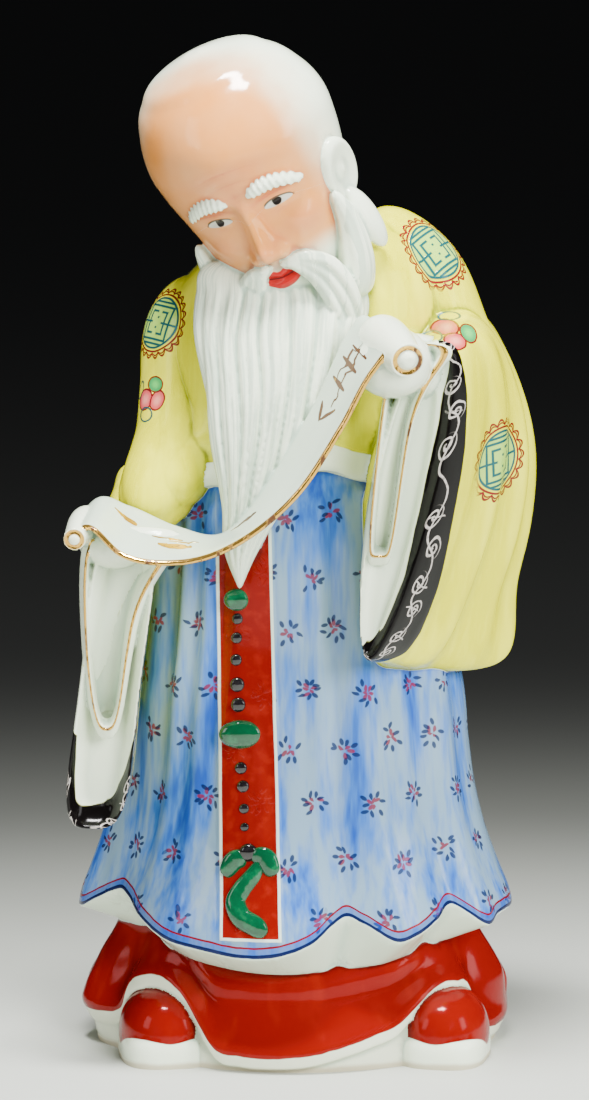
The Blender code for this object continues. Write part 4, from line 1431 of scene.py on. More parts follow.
def medallion(paint, takes):
    """A round badge: a scalloped border round an even lattice of bars, on a pale green ground."""
    x, y, depth = paint.apart(takes["Vector"])
    away = paint.length(x, y)
    angle = paint.math("ARCTAN2", y, x)
    inside = paint.step(0.5, 0.4, abs(depth))
    lobe = abs(paint.math("SINE", angle * 11.0))
    scallop = paint.line(away - (0.86 + 0.12 * lobe), 0.03)
    scallop = paint.most(scallop, paint.line(away - 0.8, 0.026))
    curl = paint.line(away - (0.84 + 0.07 * lobe), 0.02)
    scallop = inside * paint.most(scallop, curl)
    wide, tall = abs(x), abs(y)
    square = paint.most(wide, tall)
    frets = paint.line(square - 0.46, 0.032)
    # Shorter bars, as (distance from the bar, its half width, and where it fades out and is whole)
    for bar, half_width, low, high in (
        (square - 0.30, 0.032, 0.05, 0.09), (square - 0.14, 0.030, 0.05, 0.02),
        (y, 0.03, 0.16, 0.20), (tall - 0.58, 0.03, 0.42, 0.38),
    ):
        frets = paint.most(frets, paint.line(bar, half_width) * paint.step(low, high, wide))
    ring = paint.line(away - 0.7, 0.03)
    dark = inside * paint.most(ring, frets * paint.step(0.7, 0.68, away))
    field = inside * paint.step(0.71, 0.69, away)
    colour = paint.blend(field * 0.7, takes["Colour"], BADGE_GREEN)
    colour = paint.blend(scallop, colour, OXIDE)
    return paint.blend(dark, colour, TEAL), paint.most(dark, scallop)


def blob(paint, x, y, centre, size):
    """How far out a place is from the middle of an oval, 1 on its edge."""
    wide = (x - centre[0]) / size[0]
    tall = (y - centre[1]) / size[1]
    return paint.length(wide, tall)


# Two peaches and a leaf, as (middle, half sizes, light colour, deep colour), and the arcs of stems
FRUIT = (
    ((-0.22, 0.24), (0.42, 0.44), (0.80, 0.24, 0.20, 1), (0.62, 0.07, 0.08, 1)),
    ((-0.05, -0.46), (0.40, 0.34), (0.80, 0.26, 0.20, 1), (0.60, 0.08, 0.08, 1)),
    ((0.52, -0.05), (0.30, 0.40), (0.10, 0.52, 0.10, 1), (0.03, 0.30, 0.08, 1)),
)
STEMS = (((-0.75, -0.15), (0.28, 0.38)), ((0.05, 0.82), (0.36, 0.2)), ((0.62, -0.72), (0.36, 0.2)))


def peaches(paint, takes):
    """Two peaches and a leaf, outlined with a fine brush."""
    x, y, depth = paint.apart(takes["Vector"])
    inside = paint.step(3.2, 3.0, abs(depth))
    colour = takes["Colour"]
    sway = 0.12 * (paint.noise(takes["Vector"], 4.0) - 0.5)
    marks = 0.0
    for centre, size, light, deep in FRUIT:
        away = blob(paint, x, y, centre, size) + sway
        tint = paint.blend(paint.step(0.1, 0.9, away), light, deep)
        colour = paint.blend(inside * paint.step(1.0, 0.9, away), colour, tint)
        outline = inside * paint.line(away - 1.02, 0.09)
        colour = paint.blend(outline, colour, OXIDE)
        marks = paint.most(marks, outline)
    for centre, size in STEMS:
        arc = paint.line(blob(paint, x, y, centre, size) - 1.0, 0.12)
        arc = inside * (arc * paint.step(0.0, 0.15, y - x))
        colour = paint.blend(arc, colour, TEAL)
        marks = paint.most(marks, arc)
    return colour, marks


def vine(paint, takes):
    """A thin scrolling line with curls, along a band."""
    along, across = takes["Along"], takes["Across"]
    sway = paint.noise(paint.vector(along, across), 0.11, 1.0)
    along = along + 5.0 * (sway - 0.5)
    wave = 2.4 * paint.math("SINE", along * (TURN / 21))
    stem = paint.line(across - wave, 0.36)
    number = paint.math("ROUND", along / 10.5)
    side = 2.0 * paint.math("FLOORED_MODULO", number, 2.0) - 1.0
    x = along - number * 10.5
    y = across + 1.2 * side
    away = paint.length(x, y)
    angle = paint.math("ARCTAN2", y, x * side) / TURN
    turn = paint.math("FRACT", away / 2.1 - angle)
    curl = paint.line(turn - 0.5, 0.17) * paint.step(3.9, 3.5, away)
    chance = paint.chance(paint.vector(number, 5.0, 2.0))
    curl = curl * paint.step(0.25, 0.3, chance[0])
    tick = paint.line(x - 0.5 * y, 0.25)
    tick = tick * paint.step(4.0, 3.2, abs(across))
    tick = tick * paint.step(0.62, 0.66, chance[1])
    faint = paint.step(0.32, 0.5, paint.noise(paint.vector(along, across), 0.9, 2.0))
    drawn = paint.most(paint.most(stem, curl), tick)
    return (drawn * (0.45 + 0.55 * faint),)


def stroke(paint, takes):
    """A straight brush stroke between two points, thinner at its ends."""
    flat = paint.vectors("SUBTRACT", takes["Point"], takes["Start"])
    line = paint.vectors("SUBTRACT", takes["End"], takes["Start"])
    reach = paint.vectors("DOT_PRODUCT", flat, line)
    whole = paint.vectors("DOT_PRODUCT", line, line)
    share = paint.least(paint.most(reach / whole, 0.0), 1.0)
    gap = paint.vectors("DISTANCE", flat, paint.vectors("SCALE", line, None, None, share))
    thinned = paint.math("POWER", abs(share - 0.45), 1.5)
    width = takes["Width"] * (1.0 - 1.6 * thinned)
    return (paint.step(1.2, 0.8, gap / width),)


def flush(paint, takes):
    """The painted face: a warm flush that fades at the crown, the eyes and the lips."""
    x, y, z = paint.apart(takes["Vector"])
    side = abs(x)
    cloud = paint.noise(takes["Vector"], 0.06, 2.0)
    sway = 8.0 * (cloud - 0.5)
    out = paint.length(x + 3.0, paint.most(z - 4.0, 0.0))
    dome = paint.step(42.0, 27.0, out + sway)
    below = paint.step(-50.0, -38.0, z + 0.3 * sway)
    front = paint.step(4.0, -12.0, y)
    warm = dome * (below * front)
    # The flush is painted deeper in the face's creases: partly the enamel lying thicker, partly painted
    # shade
    deep = 0.8 * paint.step(0.0, 0.3, paint.attribute("pool"))
    # Deeper flushes, as (across, middle, stretch, where it ends, where it is full, how deep)
    for across, centre, stretch, end, full, weight in (
        (side, (17.0, -31.0), (1.0, 0.8), 11.0, 2.0, 0.35),
        (x, (0.0, -36.0), (1.0, 1.0), 8.0, 1.0, 0.35),
        (x, (0.0, -11.0), (1.0, 1.2), 9.0, 1.0, 0.40),
        (x, (0.0, -1.0), (1.6, 0.5), 16.0, 3.0, 0.40),
        (side, (12.5, -15.5), (1.2, 0.6), 9.0, 3.0, 0.40),
    ):
        glow = paint.step(end, full, blob(paint, across, z, centre, stretch))
        deep = deep + weight * glow
    deep = paint.least(deep, 1.0) * 0.75
    tint = paint.blend(deep, SALMON, SALMON_DEEP)
    strength = warm * (0.84 + 0.16 * cloud)
    colour = paint.blend(strength, takes["Colour"], tint)
    # Eyes: a pale almond, a dark round, and a thin line for the upper lid
    bow = 0.035 * ((side - EYE_SIDE) * (side - EYE_SIDE))
    slit = z - EYE_LEVEL + 0.6 * bow
    ends = (side - EYE_SIDE) / 5.6
    ends = paint.math("SQRT", paint.most(0.0, 1.0 - ends * ends))
    almond = paint.step(1.15, 0.85, abs(slit) / (0.02 + 1.7 * ends))
    ahead = paint.step(0.0, -8.0, y)
    almond = almond * ahead
    colour = paint.blend(almond, colour, EYE_WHITE)
    iris = paint.step(2.0, 1.6, blob(paint, side, z, (EYE_SIDE - 0.3, EYE_LEVEL), (1.0, 1.0)))
    colour = paint.blend(almond * iris, colour, IRIS)
    lid = paint.line(slit - 1.7 * ends, 0.45)
    lid = lid * paint.step(6.4, 5.2, abs(side - (EYE_SIDE + 0.3)))
    colour = paint.blend(lid * ahead * 0.9, colour, LID)
    # Lips, with a dark line where they meet
    lip = z - LIP_LEVEL - 0.026 * (x * x)
    across = side / MOUTH_SIDE
    taper = paint.math("SQRT", paint.most(0.0, 1.0 - across * across))
    arch = 2.9 + 0.8 * paint.step(0.3, 2.4, side)
    above = taper * arch - lip
    under = lip + taper * 4.6
    mouth = paint.step(-0.3, 0.3, above) * paint.step(-0.3, 0.3, under)
    mouth = mouth * (paint.step(MOUTH_SIDE, MOUTH_SIDE - 0.6, side) * ahead)
    lips = paint.blend(paint.line(lip, 0.35), LIP, LIP_DEEP)
    return (paint.blend(mouth, colour, lips),)


# Every shared node group, with the names of what it takes and what it gives
EFFECTS = (
    (glazed_ground, "", "Colour Roughness Height White Clear Red"),
    (gilding, "Colour Mask Worn", "Colour Metal"),
    (dash_ring, "X Y Seed Count Radius Length Width", "Mask"),
    (sprigs, "", "Inner Outer"),
    (medallion, "Colour Vector", "Colour Marks"),
    (peaches, "Colour Vector", "Colour Marks"),
    (vine, "Along Across", "Mask"),
    (stroke, "Point Start End Width", "Mask"),
    (flush, "Colour Vector", "Colour"),
)


# Materials


def glazed(name, draw):
    """A glazed material. draw(paint, ground) returns its colour, metal and extra relief."""
    material, paint = material_of(name)
    base = paint.group("glazed_ground")
    colour, metal, relief = draw(paint, base)
    # Dark enamels mirror less than the clear glaze does
    lit = paint.vectors("MULTIPLY_ADD", colour, (8, 8, 8), (0.35, 0.35, 0.35))
    paint.surface(
        Base_Color=colour, Metallic=metal, Roughness=base["Roughness"], IOR=1.46,
        Specular_Tint=paint.vectors("MINIMUM", lit, (1, 1, 1)),
        Normal=paint.bump(0.00009, base["Height"] + relief))
    return material


def white_glaze(paint, base):
    """Bare glaze."""
    return base["Colour"], 0.0, 0.0


def hair_glaze(paint, base):
    """White glaze, a little greener between fine strands."""
    turns, down, _ = paint.cloth()
    strands = paint.noise(paint.vector(turns * 95.0, down * 0.03), 1.0, 2.0)
    colour = paint.blend(0.5 * paint.step(0.56, 0.4, strands), base["Colour"], CELADON)
    return colour, 0.0, 2.5 * strands


def face_glaze(paint, base):
    """The painted face on the skin, in the head's own frame."""
    scale = bpy.context.scene.porcelain_figure.height / UNITS
    spin = [math.radians(a) for a in (HEAD_NOD, HEAD_LEAN, HEAD_TURN)]
    centre = [value * scale for value in SKULL_CENTRE]
    local = paint.mapped(paint.place(), centre, spin, (scale,) * 3, "TEXTURE")
    painted = paint.group("flush", base["White"], local)
    skin = paint.step(-0.1, 0.5, paint.attribute("skin"))
    return paint.blend(skin, base["Colour"], painted["Colour"]), 0.0, 0.0


def badged(paint, colour, badges):
    """A colour with painted badges over it, and where their lines are."""
    marks = 0.0
    for badge in badges:
        # Place on the badge, with 1 as its radius
        spot = paint.mapped(
            paint.place(), badge["centre"], badge["spin"], (badge["radius"],) * 3, "TEXTURE")
        made = paint.group(badge["kind"], colour, spot)
        colour, marks = made["Colour"], paint.most(marks, made["Marks"])
    return colour, marks


def robe_glaze(badges):
    """Yellow cloth with badges, and the pale lining that shows at its lower edge."""

    def draw(paint, base):
        colour, marks = badged(paint, base["Colour"], badges)
        edge = paint.cloth()[1] + 3.0 * paint.swayed((90, 90, 20))
        low = paint.apart(paint.place())[2]
        lining = paint.step(10.8, 10.2, edge) * paint.step(0.262, 0.258, low)
        lining = lining * paint.step(-0.5, 0.5, paint.attribute("yellow"))
        return paint.blend(lining, colour, base["Clear"]), 0.0, 1.5 * marks

    return draw


def along_stops(paint, value, stops):
    """A line of straight pieces through (place, height) stops."""
    height = stops[0][1]
    for (start, low), (end, high) in zip(stops, stops[1:]):
        share = paint.first("ShaderNodeMapRange", value, start, end)
        height = height + (high - low) * share
    return height


def cuff_glaze(first, last, badges):
    """A sleeve: white lining, a black band with a pale vine, and yellow cloth.

    first and last say how far from the rim the band starts and ends, as stops of turns from the top.
    """

    def draw(paint, base):
        turns, reach, per_turn = paint.cloth()
        start = along_stops(paint, turns, first)
        end = along_stops(paint, turns, last)
        reach_in = reach + 0.9 * paint.swayed((80, 80, 80))
        black = paint.step(-0.25, 0.25, reach_in - start) * paint.step(0.25, -0.25, reach_in - end)
        lining = paint.step(0.25, -0.25, reach_in - start)
        colour, marks = badged(paint, base["Colour"], badges)
        colour = paint.blend(lining, colour, base["Clear"])
        middle = 0.5 * (start + end)
        line = paint.group("vine", turns * per_turn, reach - middle)[0]
        ink = paint.blend(line * 0.8, INK, PALE_INK)
        inside = paint.step(-0.1, 0.3, paint.attribute("yellow"))
        black = black * inside
        return paint.blend(black, colour, ink), 0.0, marks + black

    return draw


def gold_rim(paint, base):
    """White glaze with a gold line along its rim."""
    rim = paint.line(paint.cloth()[1], 0.95)
    made = paint.group("gilding", base["Colour"], rim, 0.02)
    return made["Colour"], made["Metal"], rim


# Strokes on the scroll as (start, end, half width), in units along it and in from its front edge
SCROLL_STROKES = (
    ((22, 12.5), (46, 12.5), 0.95), ((22, 18.0), (38, 18.5), 0.95), ((24, 8.0), (26, 21.5), 1.0),
    ((31, 8.5), (32, 22.0), 1.0), ((39, 9.0), (39, 21.0), 1.0), ((46, 9.0), (52, 14.5), 0.9),
    ((52, 14.5), (47, 19.5), 0.9),
    ((124, 11.0), (139, 12.5), 1.5), ((120, 16.5), (134, 18.0), 1.4), ((128, 20.5), (142, 22.0), 1.2),
    ((88, 16.0), (100, 19.5), 1.0), ((150, 26.0), (161, 28.0), 1.2),
)


# Strokes that start further along than this are on the scroll's lower part, where the gold is less worn
LOWER_PART = 110


def scroll_glaze(paint, base):
    """Pale glaze with a gold edge and gold strokes."""
    share, inward, length = paint.cloth()
    mask = paint.line(inward - 0.4, 1.15)
    point = paint.vector(share * length, inward)
    # The whole scroll is painted a darker, greener white, as painted shade
    colour = paint.blend(0.6, base["Colour"], CELADON)
    made = paint.group("gilding", colour, mask, 0.02)
    colour, metal = made["Colour"], made["Metal"]
    for start, end, width in SCROLL_STROKES:
        line = paint.group("stroke", point, (*start, 0), (*end, 0), width)[0]
        made = paint.group("gilding", colour, line, 0.30 if start[0] < LOWER_PART else -0.02)
        colour, metal = made["Colour"], paint.most(metal, made["Metal"])
        mask = paint.most(mask, line)
    return colour, metal, mask


def roll_glaze(paint, base):
    """Gold on the ring round each knob, by distance from the roll's end."""
    colour, metal = base["Colour"], 0.0
    x, y, z = paint.in_units()
    for centre, rise in ((RIGHT_ROLL[0], 4.8), (LEFT_ROLL[0], 3.0)):
        away = paint.length(x - centre[0], z - centre[2])
        gap = away - rise
        near = paint.step(6.0, 4.5, abs(y - centre[1]))
        mask = paint.line(gap, 0.9) * near
        made = paint.group("gilding", colour, mask, 0.0)
        colour, metal = made["Colour"], metal + made["Metal"]
    return colour, metal, 0.0


def skirt_glaze(paint, base):
    """Blue washed cloth with sprigs, lines along its hem, and the red apron."""
    height = paint.cloth()[1]
    x, y, z = paint.in_units()
    sway = paint.swayed((110, 110, 30))
    ink = paint.group("sprigs")
    colour = paint.blend(ink["Inner"] * 0.85, base["Colour"], OXIDE)
    colour = paint.blend(ink["Outer"] * 0.88, colour, NAVY)
    level = height + 1.2 * sway
    pooled = paint.line(level - 2.4, 2.0) * 0.5
    colour = paint.blend(pooled, colour, WASH_DEEP)
    colour = paint.blend(paint.line(level - 4.3, 0.4), colour, OXIDE)
    weight = 0.75 + 0.8 * sway
    thin = abs(level - 1.1) / weight
    colour = paint.blend(paint.step(1.2, 0.8, thin), colour, NAVY)
    # The turned-in underside of the hem is painted in shade, a darker and greener white
    shaded = paint.blend(0.45, base["White"], CELADON)
    colour = paint.blend(paint.step(0.5, 0.1, level), colour, shaded)
    # The apron: red between pale edges
    down = (APRON_TOP - z) / (APRON_TOP - APRON_BOTTOM)
    left = APRON_LEFT[0] + (APRON_LEFT[1] - APRON_LEFT[0]) * down
    right = APRON_RIGHT[0] + (APRON_RIGHT[1] - APRON_RIGHT[0]) * down
    edge = paint.least(paint.least(x - left, right - x), z - APRON_BOTTOM)
    # Its top is cut off at a slope, under the beard
    edge = paint.least(edge, 218.0 + 0.65 * (x + 10.0) - z) + 0.7 * sway
    front = paint.step(0.0, -5.0, y)
    own = paint.step(-0.1, 0.4, paint.attribute("blue"))
    front = front * own
    border = front * paint.step(-0.7, -0.2, edge)
    panel = front * paint.step(0.5, 0.8, edge)
    colour = paint.blend(0.75 * border, colour, base["White"])
    patchy = paint.step(0.45, 0.7, paint.noise(paint.place(), 220.0))
    colour = paint.blend(panel, colour, paint.blend(0.5 * patchy, base["Red"], IRON_PALE))
    return colour, 0.0, ink["Outer"] + ink["Inner"]


def base_glaze(paint, base):
    """Red down to the lower skirt's edge, and the bare foot under it."""
    low = paint.step(1.2, 0.7, paint.cloth()[1] + 1.6 * paint.swayed((90, 90, 60)))
    return paint.blend(low, base["Colour"], paint.blend(0.3, base["White"], BISCUIT)), 0.0, 0.0


# Start and end of the black bands, as (turns from the sleeve's top, units from its rim)
RIGHT_BAND = (
    ((0.0, -0.5), (0.07, -1.4), (0.12, -4.7), (0.22, -6.0), (0.28, -5.2), (0.33, -2.8), (0.41, -3.7),
     (0.45, -7.0), (0.53, -5.6), (0.57, 0.1), (0.64, 0.4), (0.70, 9.0), (0.97, 9.0), (1.0, -0.5)),
    ((0.0, 3.0), (0.09, 4.0), (0.17, 6.9), (0.26, 10.9), (0.34, 16.6), (0.40, 19.5), (0.44, 18.0),
     (0.50, 8.0), (0.60, 5.0), (1.0, 4.0)),
)
LEFT_BAND = (
    ((0.0, 1.0), (0.30, 0.8), (0.345, -3.0), (0.41, -8.4), (0.48, -9.5), (0.53, -7.0), (0.58, -4.5),
     (0.66, -3.0), (0.69, -1.6), (0.73, 12.0), (0.97, 12.0), (1.0, 1.0)),
    ((0.0, 8.0), (0.30, 8.0), (0.50, 11.0), (0.70, 9.0), (1.0, 8.0)),
)

# Painted badges, as kind, where the picture shows their middle, the direction they face in degrees
# round and up from the front, radius in units, and turn in degrees
BADGES = (
    ("medallion", (436, 249), (35, 50), 15.5, 25),
    ("peaches", (454, 331), (4, -2), 11.0, 0),
    ("medallion", (157, 322), (-62, 20), 14.5, 0),
    ("peaches", (150, 396), (-40, 8), 9.5, 80),
    ("medallion", (503, 460), (80, 0), 16.5, 10),
)
# The picture: metres for each of its dots, its middle, and where it shows the figure's origin
PHOTO_PIXEL = 0.000386
PHOTO_CENTRE = (294.5, 550.0)
PHOTO_ORIGIN = (297.0, 1049.0)
SENSOR = 36


def sight(settings):
    """The camera's place, and its directions to the right, up and back."""
    rise = settings.rise
    right = Vector((1, 0, 0))
    back = Vector((0, -math.cos(rise), math.sin(rise)))
    up = Vector((0, math.sin(rise), math.cos(rise)))
    across = (PHOTO_CENTRE[0] - PHOTO_ORIGIN[0]) * PHOTO_PIXEL
    above = (PHOTO_ORIGIN[1] - PHOTO_CENTRE[1]) * PHOTO_PIXEL
    return right * across + up * above + back * settings.distance, right, up, back


def seen_at(tree, picture):
    """The place and the normal of the surface that a point of the picture shows."""
    settings = bpy.context.scene.porcelain_stage
    camera, right, up, back = sight(settings)
    reach = settings.lens / SENSOR * 2 * PHOTO_CENTRE[1]
    ray = right * (picture[0] - PHOTO_CENTRE[0]) + up * (PHOTO_CENTRE[1] - picture[1]) - back * reach
    hit, normal = tree.ray_cast(camera, ray.normalized())[:2]
    if hit is None:
        raise RuntimeError("a point of the picture misses the figure")
    return hit, normal


def place_badges(body, unit):
    """Each badge set on the surface that carries it, turned a little towards that surface."""
    tree = BVHTree.FromObject(body, bpy.context.evaluated_depsgraph_get())
    placed = []
    for kind, picture, (azimuth, rise), radius, turn in BADGES:
        azimuth, rise = math.radians(azimuth), math.radians(rise)
        level = Vector((math.sin(azimuth), -math.cos(azimuth), 0))
        view = level * math.cos(rise) + Vector((0, 0, math.sin(rise)))
        hit, normal = seen_at(tree, picture)
        out = (normal * 0.25 + view * 0.75).normalized()
        right = Vector((0, 0, 1)).cross(out).normalized()
        up = out.cross(right)
        spin = Matrix((right, up, out)).transposed() @ Matrix.Rotation(math.radians(turn), 3, "Z")
        placed.append({"kind": kind, "centre": hit, "spin": spin.to_euler(), "radius": radius * unit})
    return placed


def make_materials(body, unit):
    """Every material of the body, by the name that its faces ask for."""
    badges = place_badges(body, unit)
    return {
        "face": glazed("painted face", face_glaze),
        "hair": glazed("white beard", hair_glaze),
        "white": glazed("white glaze", white_glaze),
        "skirt": glazed("blue washed skirt", skirt_glaze),
        "base": glazed("red hem and white foot", base_glaze),
        "robe": glazed("yellow robe", robe_glaze(badges[:4])),
        "right_cuff": glazed("right cuff", cuff_glaze(*RIGHT_BAND, badges[1:2] + badges[4:])),
        "left_cuff": glazed("left cuff", cuff_glaze(*LEFT_BAND, [])),
        "gold_rim": glazed("gold rim", gold_rim),
        "scroll": glazed("scroll", scroll_glaze),
        "roll": glazed("rolled ends", roll_glaze),
    }


class PORCELAIN_OT_figure(bpy.types.Operator):
    """Builds the glazed figure as one closed body"""

    bl_idname = "porcelain.figure"
    bl_label = "Figure"

    def execute(self, context):
        settings = context.scene.porcelain_figure
        unit = settings.height / UNITS
        grain = settings.grain * 1
        facets = settings.facets * 1
        shapes = figure_shapes(settings)
        body = clay(shapes, unit, grain)
        dense = body.data
        points = read(dense.vertices, "co", 3)
        normals = read(dense.vertex_normals, "vector", 3)
        # Hollows, narrow and wide, are where a smoothed skin stands outside the real one. The paint goes
        # darker there, partly as painted shade.
        pool = ((softened(dense, 40) - points) * normals).sum(1) / unit
        basin = ((softened(dense, 320) - points) * normals).sum(1) / unit
        triangles = 2 * len(dense.polygons)
        modify(body, "DECIMATE", ratio=min(1.0, facets / triangles), use_collapse_triangulate=True)
        body.data = applied(body)
        outer_shell(body.data)
        cut_level(body.data)
        drilled(body, settings, unit)
        data = body.data
        data.name = body.name = "old_man_with_scroll"
        near = KDTree(len(points))
        for index, point in enumerate(points.tolist()):
            near.insert(point, index)
        near.balance()
        spots = read(data.vertices, "co", 3)
        match = np.array([near.find(point)[1] for point in spots.tolist()])
        store(data, "pool", pool[match])
        store(data, "basin", basin[match])
        wears = dress(data, shapes, unit)
        made = make_materials(body, unit)
        names = list(made)
        data.materials.clear()
        for name in names:
            data.materials.append(made[name])
        numbers = np.array([names.index(name) for name in wears], np.int32)
        data.polygons.foreach_set("material_index", numbers)
        data.shade_smooth()
        smooth_normals(data, normals[match], settings, unit)
        bpy.data.meshes.remove(dense)
        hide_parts("shoulao_figure")
        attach(body, "root")
        return {"FINISHED"}


# How far past the flat faces a face's middle may be, in metres, and still be shaded as one of them
FLAT_MARGIN = 0.0005


def smooth_normals(data, normals, settings, unit):
    """The dense skin's normals on the thinned one, with the flat foot and its hole left sharp."""
    corners = read(data.loops, "vertex_index", 1, np.int32)
    faces = read(data.polygons, "normal", 3)
    centres = read(data.polygons, "center", 3)
    own = normals[corners]
    off_hole = np.hypot(centres[:, 0], centres[:, 1] - VENT_BACK * unit)
    in_hole = off_hole < settings.vent_radius + FLAT_MARGIN
    flat = centres[:, 2] < FLAT_MARGIN / 5
    flat |= in_hole & (centres[:, 2] < settings.vent_depth + FLAT_MARGIN)
    flat = np.repeat(flat, 3)
    own[flat] = np.repeat(faces, 3, axis=0)[flat]
    data.normals_split_custom_set(own.tolist())


# Raised enamel on the apron: drops as (x, z, half width, half height, colour)
DROPS = (
    (-23.2, 184.5, 5.0, 4.4, "green"), (-22.9, 177.0, 2.2, 2.2, "black"),
    (-23.2, 169.5, 2.2, 2.2, "black"), (-23.4, 161.0, 2.3, 2.3, "black"),
    (-23.0, 151.5, 2.9, 2.9, "black"), (-22.6, 143.8, 2.9, 2.9, "black"),
    (-21.8, 132.5, 8.4, 5.6, "green"), (-21.6, 119.5, 2.4, 2.4, "black"),
    (-20.8, 112.5, 2.4, 2.4, "black"), (-20.4, 104.0, 2.0, 2.0, "black"),
    (-20.2, 97.0, 1.7, 1.7, "black"), (-18.8, 87.5, 3.6, 3.6, "black"),
)
# The green tail and the two leaves under the black drop, as stops of (share, (x, z, radius))
TAIL = (
    (0.0, (-13.5, 85.0, 2.6)), (0.16, (-17.0, 79.0, 3.4)), (0.32, (-21.3, 73.5, 3.8)),
    (0.5, (-23.6, 68.7, 4.0)), (0.68, (-21.3, 63.4, 4.2)), (0.85, (-15.8, 60.2, 4.2)),
    (1.0, (-12.0, 57.0, 3.6)),
)
LEAVES = (
    ((0.0, (-19.5, 85.0, 3.2)), (0.5, (-24.0, 84.0, 4.2)), (1.0, (-28.0, 78.0, 3.0))),
    ((0.0, (-17.5, 86.5, 3.0)), (0.5, (-12.0, 85.5, 4.0)), (1.0, (-9.0, 79.0, 3.0))),
)


def enamel(name, colour, rough):
    """Thick glassy enamel with a paler cloud through it."""
    material, paint = material_of(name)
    place = paint.place()
    pale = [min(1.0, value * 1.9 + 0.002) for value in colour]
    tint = paint.blend(paint.step(0.45, 0.75, paint.noise(place, 260.0, 3.0)), (*colour, 1), (*pale, 1))
    paint.surface(
        Base_Color=tint, Normal=paint.bump(0.00012, paint.noise(place, 420.0, 1.0)), Roughness=rough,
        Coat_Weight=0.5, Coat_Roughness=0.04)
    return material


class PORCELAIN_OT_enamel(bpy.types.Operator):
    """Lays the raised drops, leaves and tail of enamel on the apron"""

    bl_idname = "porcelain.enamel"
    bl_label = "Raised enamel"

    def execute(self, context):
        unit = context.scene.porcelain_figure.height / UNITS
        swell = context.scene.porcelain_enamel.swell
        carrier = bpy.data.objects.get("old_man_with_scroll")
        if carrier is None:
            raise RuntimeError("build the figure before its enamel")
        tree = BVHTree.FromObject(carrier, context.evaluated_depsgraph_get())

        def front(x, z):
            hit = tree.ray_cast(Vector((x, -200, z)) * unit, Vector((0, 1, 0)))[0]
            if hit is None:
                raise RuntimeError("the enamel misses the apron")
            return hit.y / unit

        greens, blacks = [], []
        for x, z, wide, tall, colour in DROPS:
            depth = 0.62 * min(wide, tall) * swell
            centre = (x, front(x, z) - 0.15 * depth, z)
            drop = ball("drop", "drop", centre, (wide, depth, tall), (0, 0, 0), 48, 32)
            (greens if colour == "green" else blacks).append(drop)
        for path in (TAIL, *LEAVES):
            stops = [(share, (x, front(x, z) - 0.1, z, radius)) for share, (x, z, radius) in path]
            rope = limb("tail", "tail", stops, 48, 96)
            middle = np.interp(rope.share, [s for s, _ in stops], [p[1] for _, p in stops])
            points = rope.points.copy()
            points[:, 1] = middle + (points[:, 1] - middle) * 0.55 * swell
            greens.append(rope._replace(points=points))
        points, corners = joined(greens + blacks)
        data = mesh_of("apron_enamel", points * unit, corners)
        data.materials.append(enamel("green enamel", (0.0012, 0.055, 0.020), 0.10))
        data.materials.append(enamel("black enamel", (0.006, 0.005, 0.006), 0.07))
        counts = [sum(len(shape.corners) for shape in group) for group in (greens, blacks)]
        data.polygons.foreach_set("material_index", np.repeat(np.arange(2, dtype=np.int32), counts))
        data.shade_smooth()
        drops = shown("apron_enamel", data)
        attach(drops, "root")
        return {"FINISHED"}


def table_top():
    """A pale sheet that falls into shade behind the figure."""
    material, paint = material_of("table top")
    place = paint.place()
    depth = paint.apart(place)[1]
    near = paint.step(0.42, -0.12, depth)
    middle = paint.step(0.92, 0.10, depth)
    far = paint.step(2.6, 0.6, depth)
    shade = 0.4 * near + 0.14 * (middle * middle)
    shade = shade + 0.006 * far
    colour = paint.blend(shade, (0.0006, 0.0007, 0.0007, 1), (0.96, 1.0, 0.90, 1))
    grain = paint.noise(place, 900.0, 2.0)
    colour = paint.blend(0.04 * grain, colour, (0.2, 0.2, 0.2, 1))
    paint.surface(Base_Color=colour, Roughness=0.5, Specular_IOR_Level=0.15)
    return material


# Lamps as (name, place, watts, width, height, whether the glaze mirrors it)
LAMPS = (
    ("top softbox", (-0.08, -0.30, 1.50), 66.0, 0.44, 0.22, True),
    ("front key", (1.15, -1.9, 1.20), 100.0, 1.0, 1.0, False),
    ("right key", (1.9, -0.7, 0.9), 34.0, 0.8, 0.8, False),
    ("left fill", (-1.1, -1.9, 0.35), 21.0, 1.0, 1.0, False),
    ("left strip", (-1.5, -0.9, 0.9), 5.0, 0.5, 0.9, True),
    ("right strip", (1.5, -0.7, 0.7), 6.0, 0.4, 0.8, True),
)


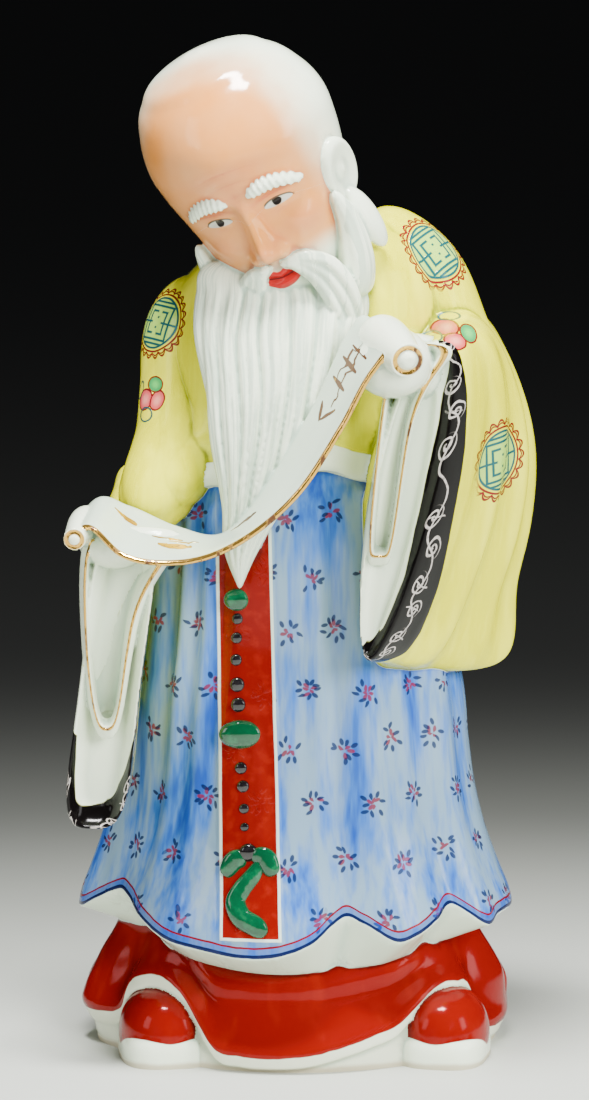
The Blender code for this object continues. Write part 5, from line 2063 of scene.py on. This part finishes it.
class PORCELAIN_OT_stage(bpy.types.Operator):
    """Sets the table top, the lamps and the camera"""

    bl_idname = "porcelain.stage"
    bl_label = "Stage"

    def execute(self, context):
        settings = context.scene.porcelain_stage
        bpy.ops.mesh.primitive_plane_add(size=settings.floor, location=(0, 0, 0))
        floor = context.object
        floor.name = "table_top"
        floor.data.materials.append(table_top())
        for name, spot, watts, width, height, mirrored in LAMPS:
            lamp = bpy.data.lights.new(name, "AREA")
            lamp.shape = "RECTANGLE"
            lamp.size, lamp.size_y, lamp.energy = width, height, watts
            holder = bpy.data.objects.new(name, lamp)
            holder.location = spot
            holder.visible_glossy = mirrored
            aim = Vector((0, 0, 0.2)) - Vector(spot)
            holder.rotation_euler = aim.to_track_quat("-Z", "Y").to_euler()
            context.scene.collection.objects.link(holder)
        world = bpy.data.worlds.new("dim room")
        world.use_nodes = True
        world.node_tree.nodes["Background"].inputs["Color"].default_value = (0.03, 0.031, 0.032, 1)
        context.scene.world = world
        place, _, _, back = sight(settings)
        camera = bpy.data.cameras.new("camera")
        camera.lens = settings.lens
        camera.sensor_width = SENSOR
        holder = bpy.data.objects.new("camera", camera)
        holder.location = place
        holder.rotation_euler = (-back).to_track_quat("-Z", "Y").to_euler()
        context.scene.collection.objects.link(holder)
        context.scene.camera = holder
        return {"FINISHED"}


class PORCELAIN_PT_panel(bpy.types.Panel):
    """Sizes and steps of the porcelain figure"""

    bl_label = "Porcelain Old Man"
    bl_idname = "PORCELAIN_PT_panel"
    bl_space_type = "VIEW_3D"
    bl_region_type = "UI"
    bl_category = "Porcelain"

    def draw(self, context):
        for group, operator in (
            (context.scene.porcelain_figure, "porcelain.figure"),
            (context.scene.porcelain_enamel, "porcelain.enamel"),
            (context.scene.porcelain_stage, "porcelain.stage"),
        ):
            box = self.layout.box()
            for name in group.__annotations__:
                box.prop(group, name)
            box.operator(operator)


CLASSES = (
    FigureSettings, EnamelSettings, StageSettings, PORCELAIN_OT_figure, PORCELAIN_OT_enamel,
    PORCELAIN_OT_stage, PORCELAIN_PT_panel,
)


def register():
    for kind in CLASSES:
        bpy.utils.register_class(kind)
    bpy.types.Scene.porcelain_figure = PointerProperty(type=FigureSettings)
    bpy.types.Scene.porcelain_enamel = PointerProperty(type=EnamelSettings)
    bpy.types.Scene.porcelain_stage = PointerProperty(type=StageSettings)


def unregister():
    del bpy.types.Scene.porcelain_figure
    del bpy.types.Scene.porcelain_enamel
    del bpy.types.Scene.porcelain_stage
    for kind in reversed(CLASSES):
        bpy.utils.unregister_class(kind)


def main():
    register()
    for draw, takes, gives in EFFECTS:
        effect(draw, takes, gives)
    bpy.ops.porcelain.figure()
    bpy.ops.porcelain.enamel()
    bpy.ops.porcelain.stage()


if __name__ == "__main__":
    main()
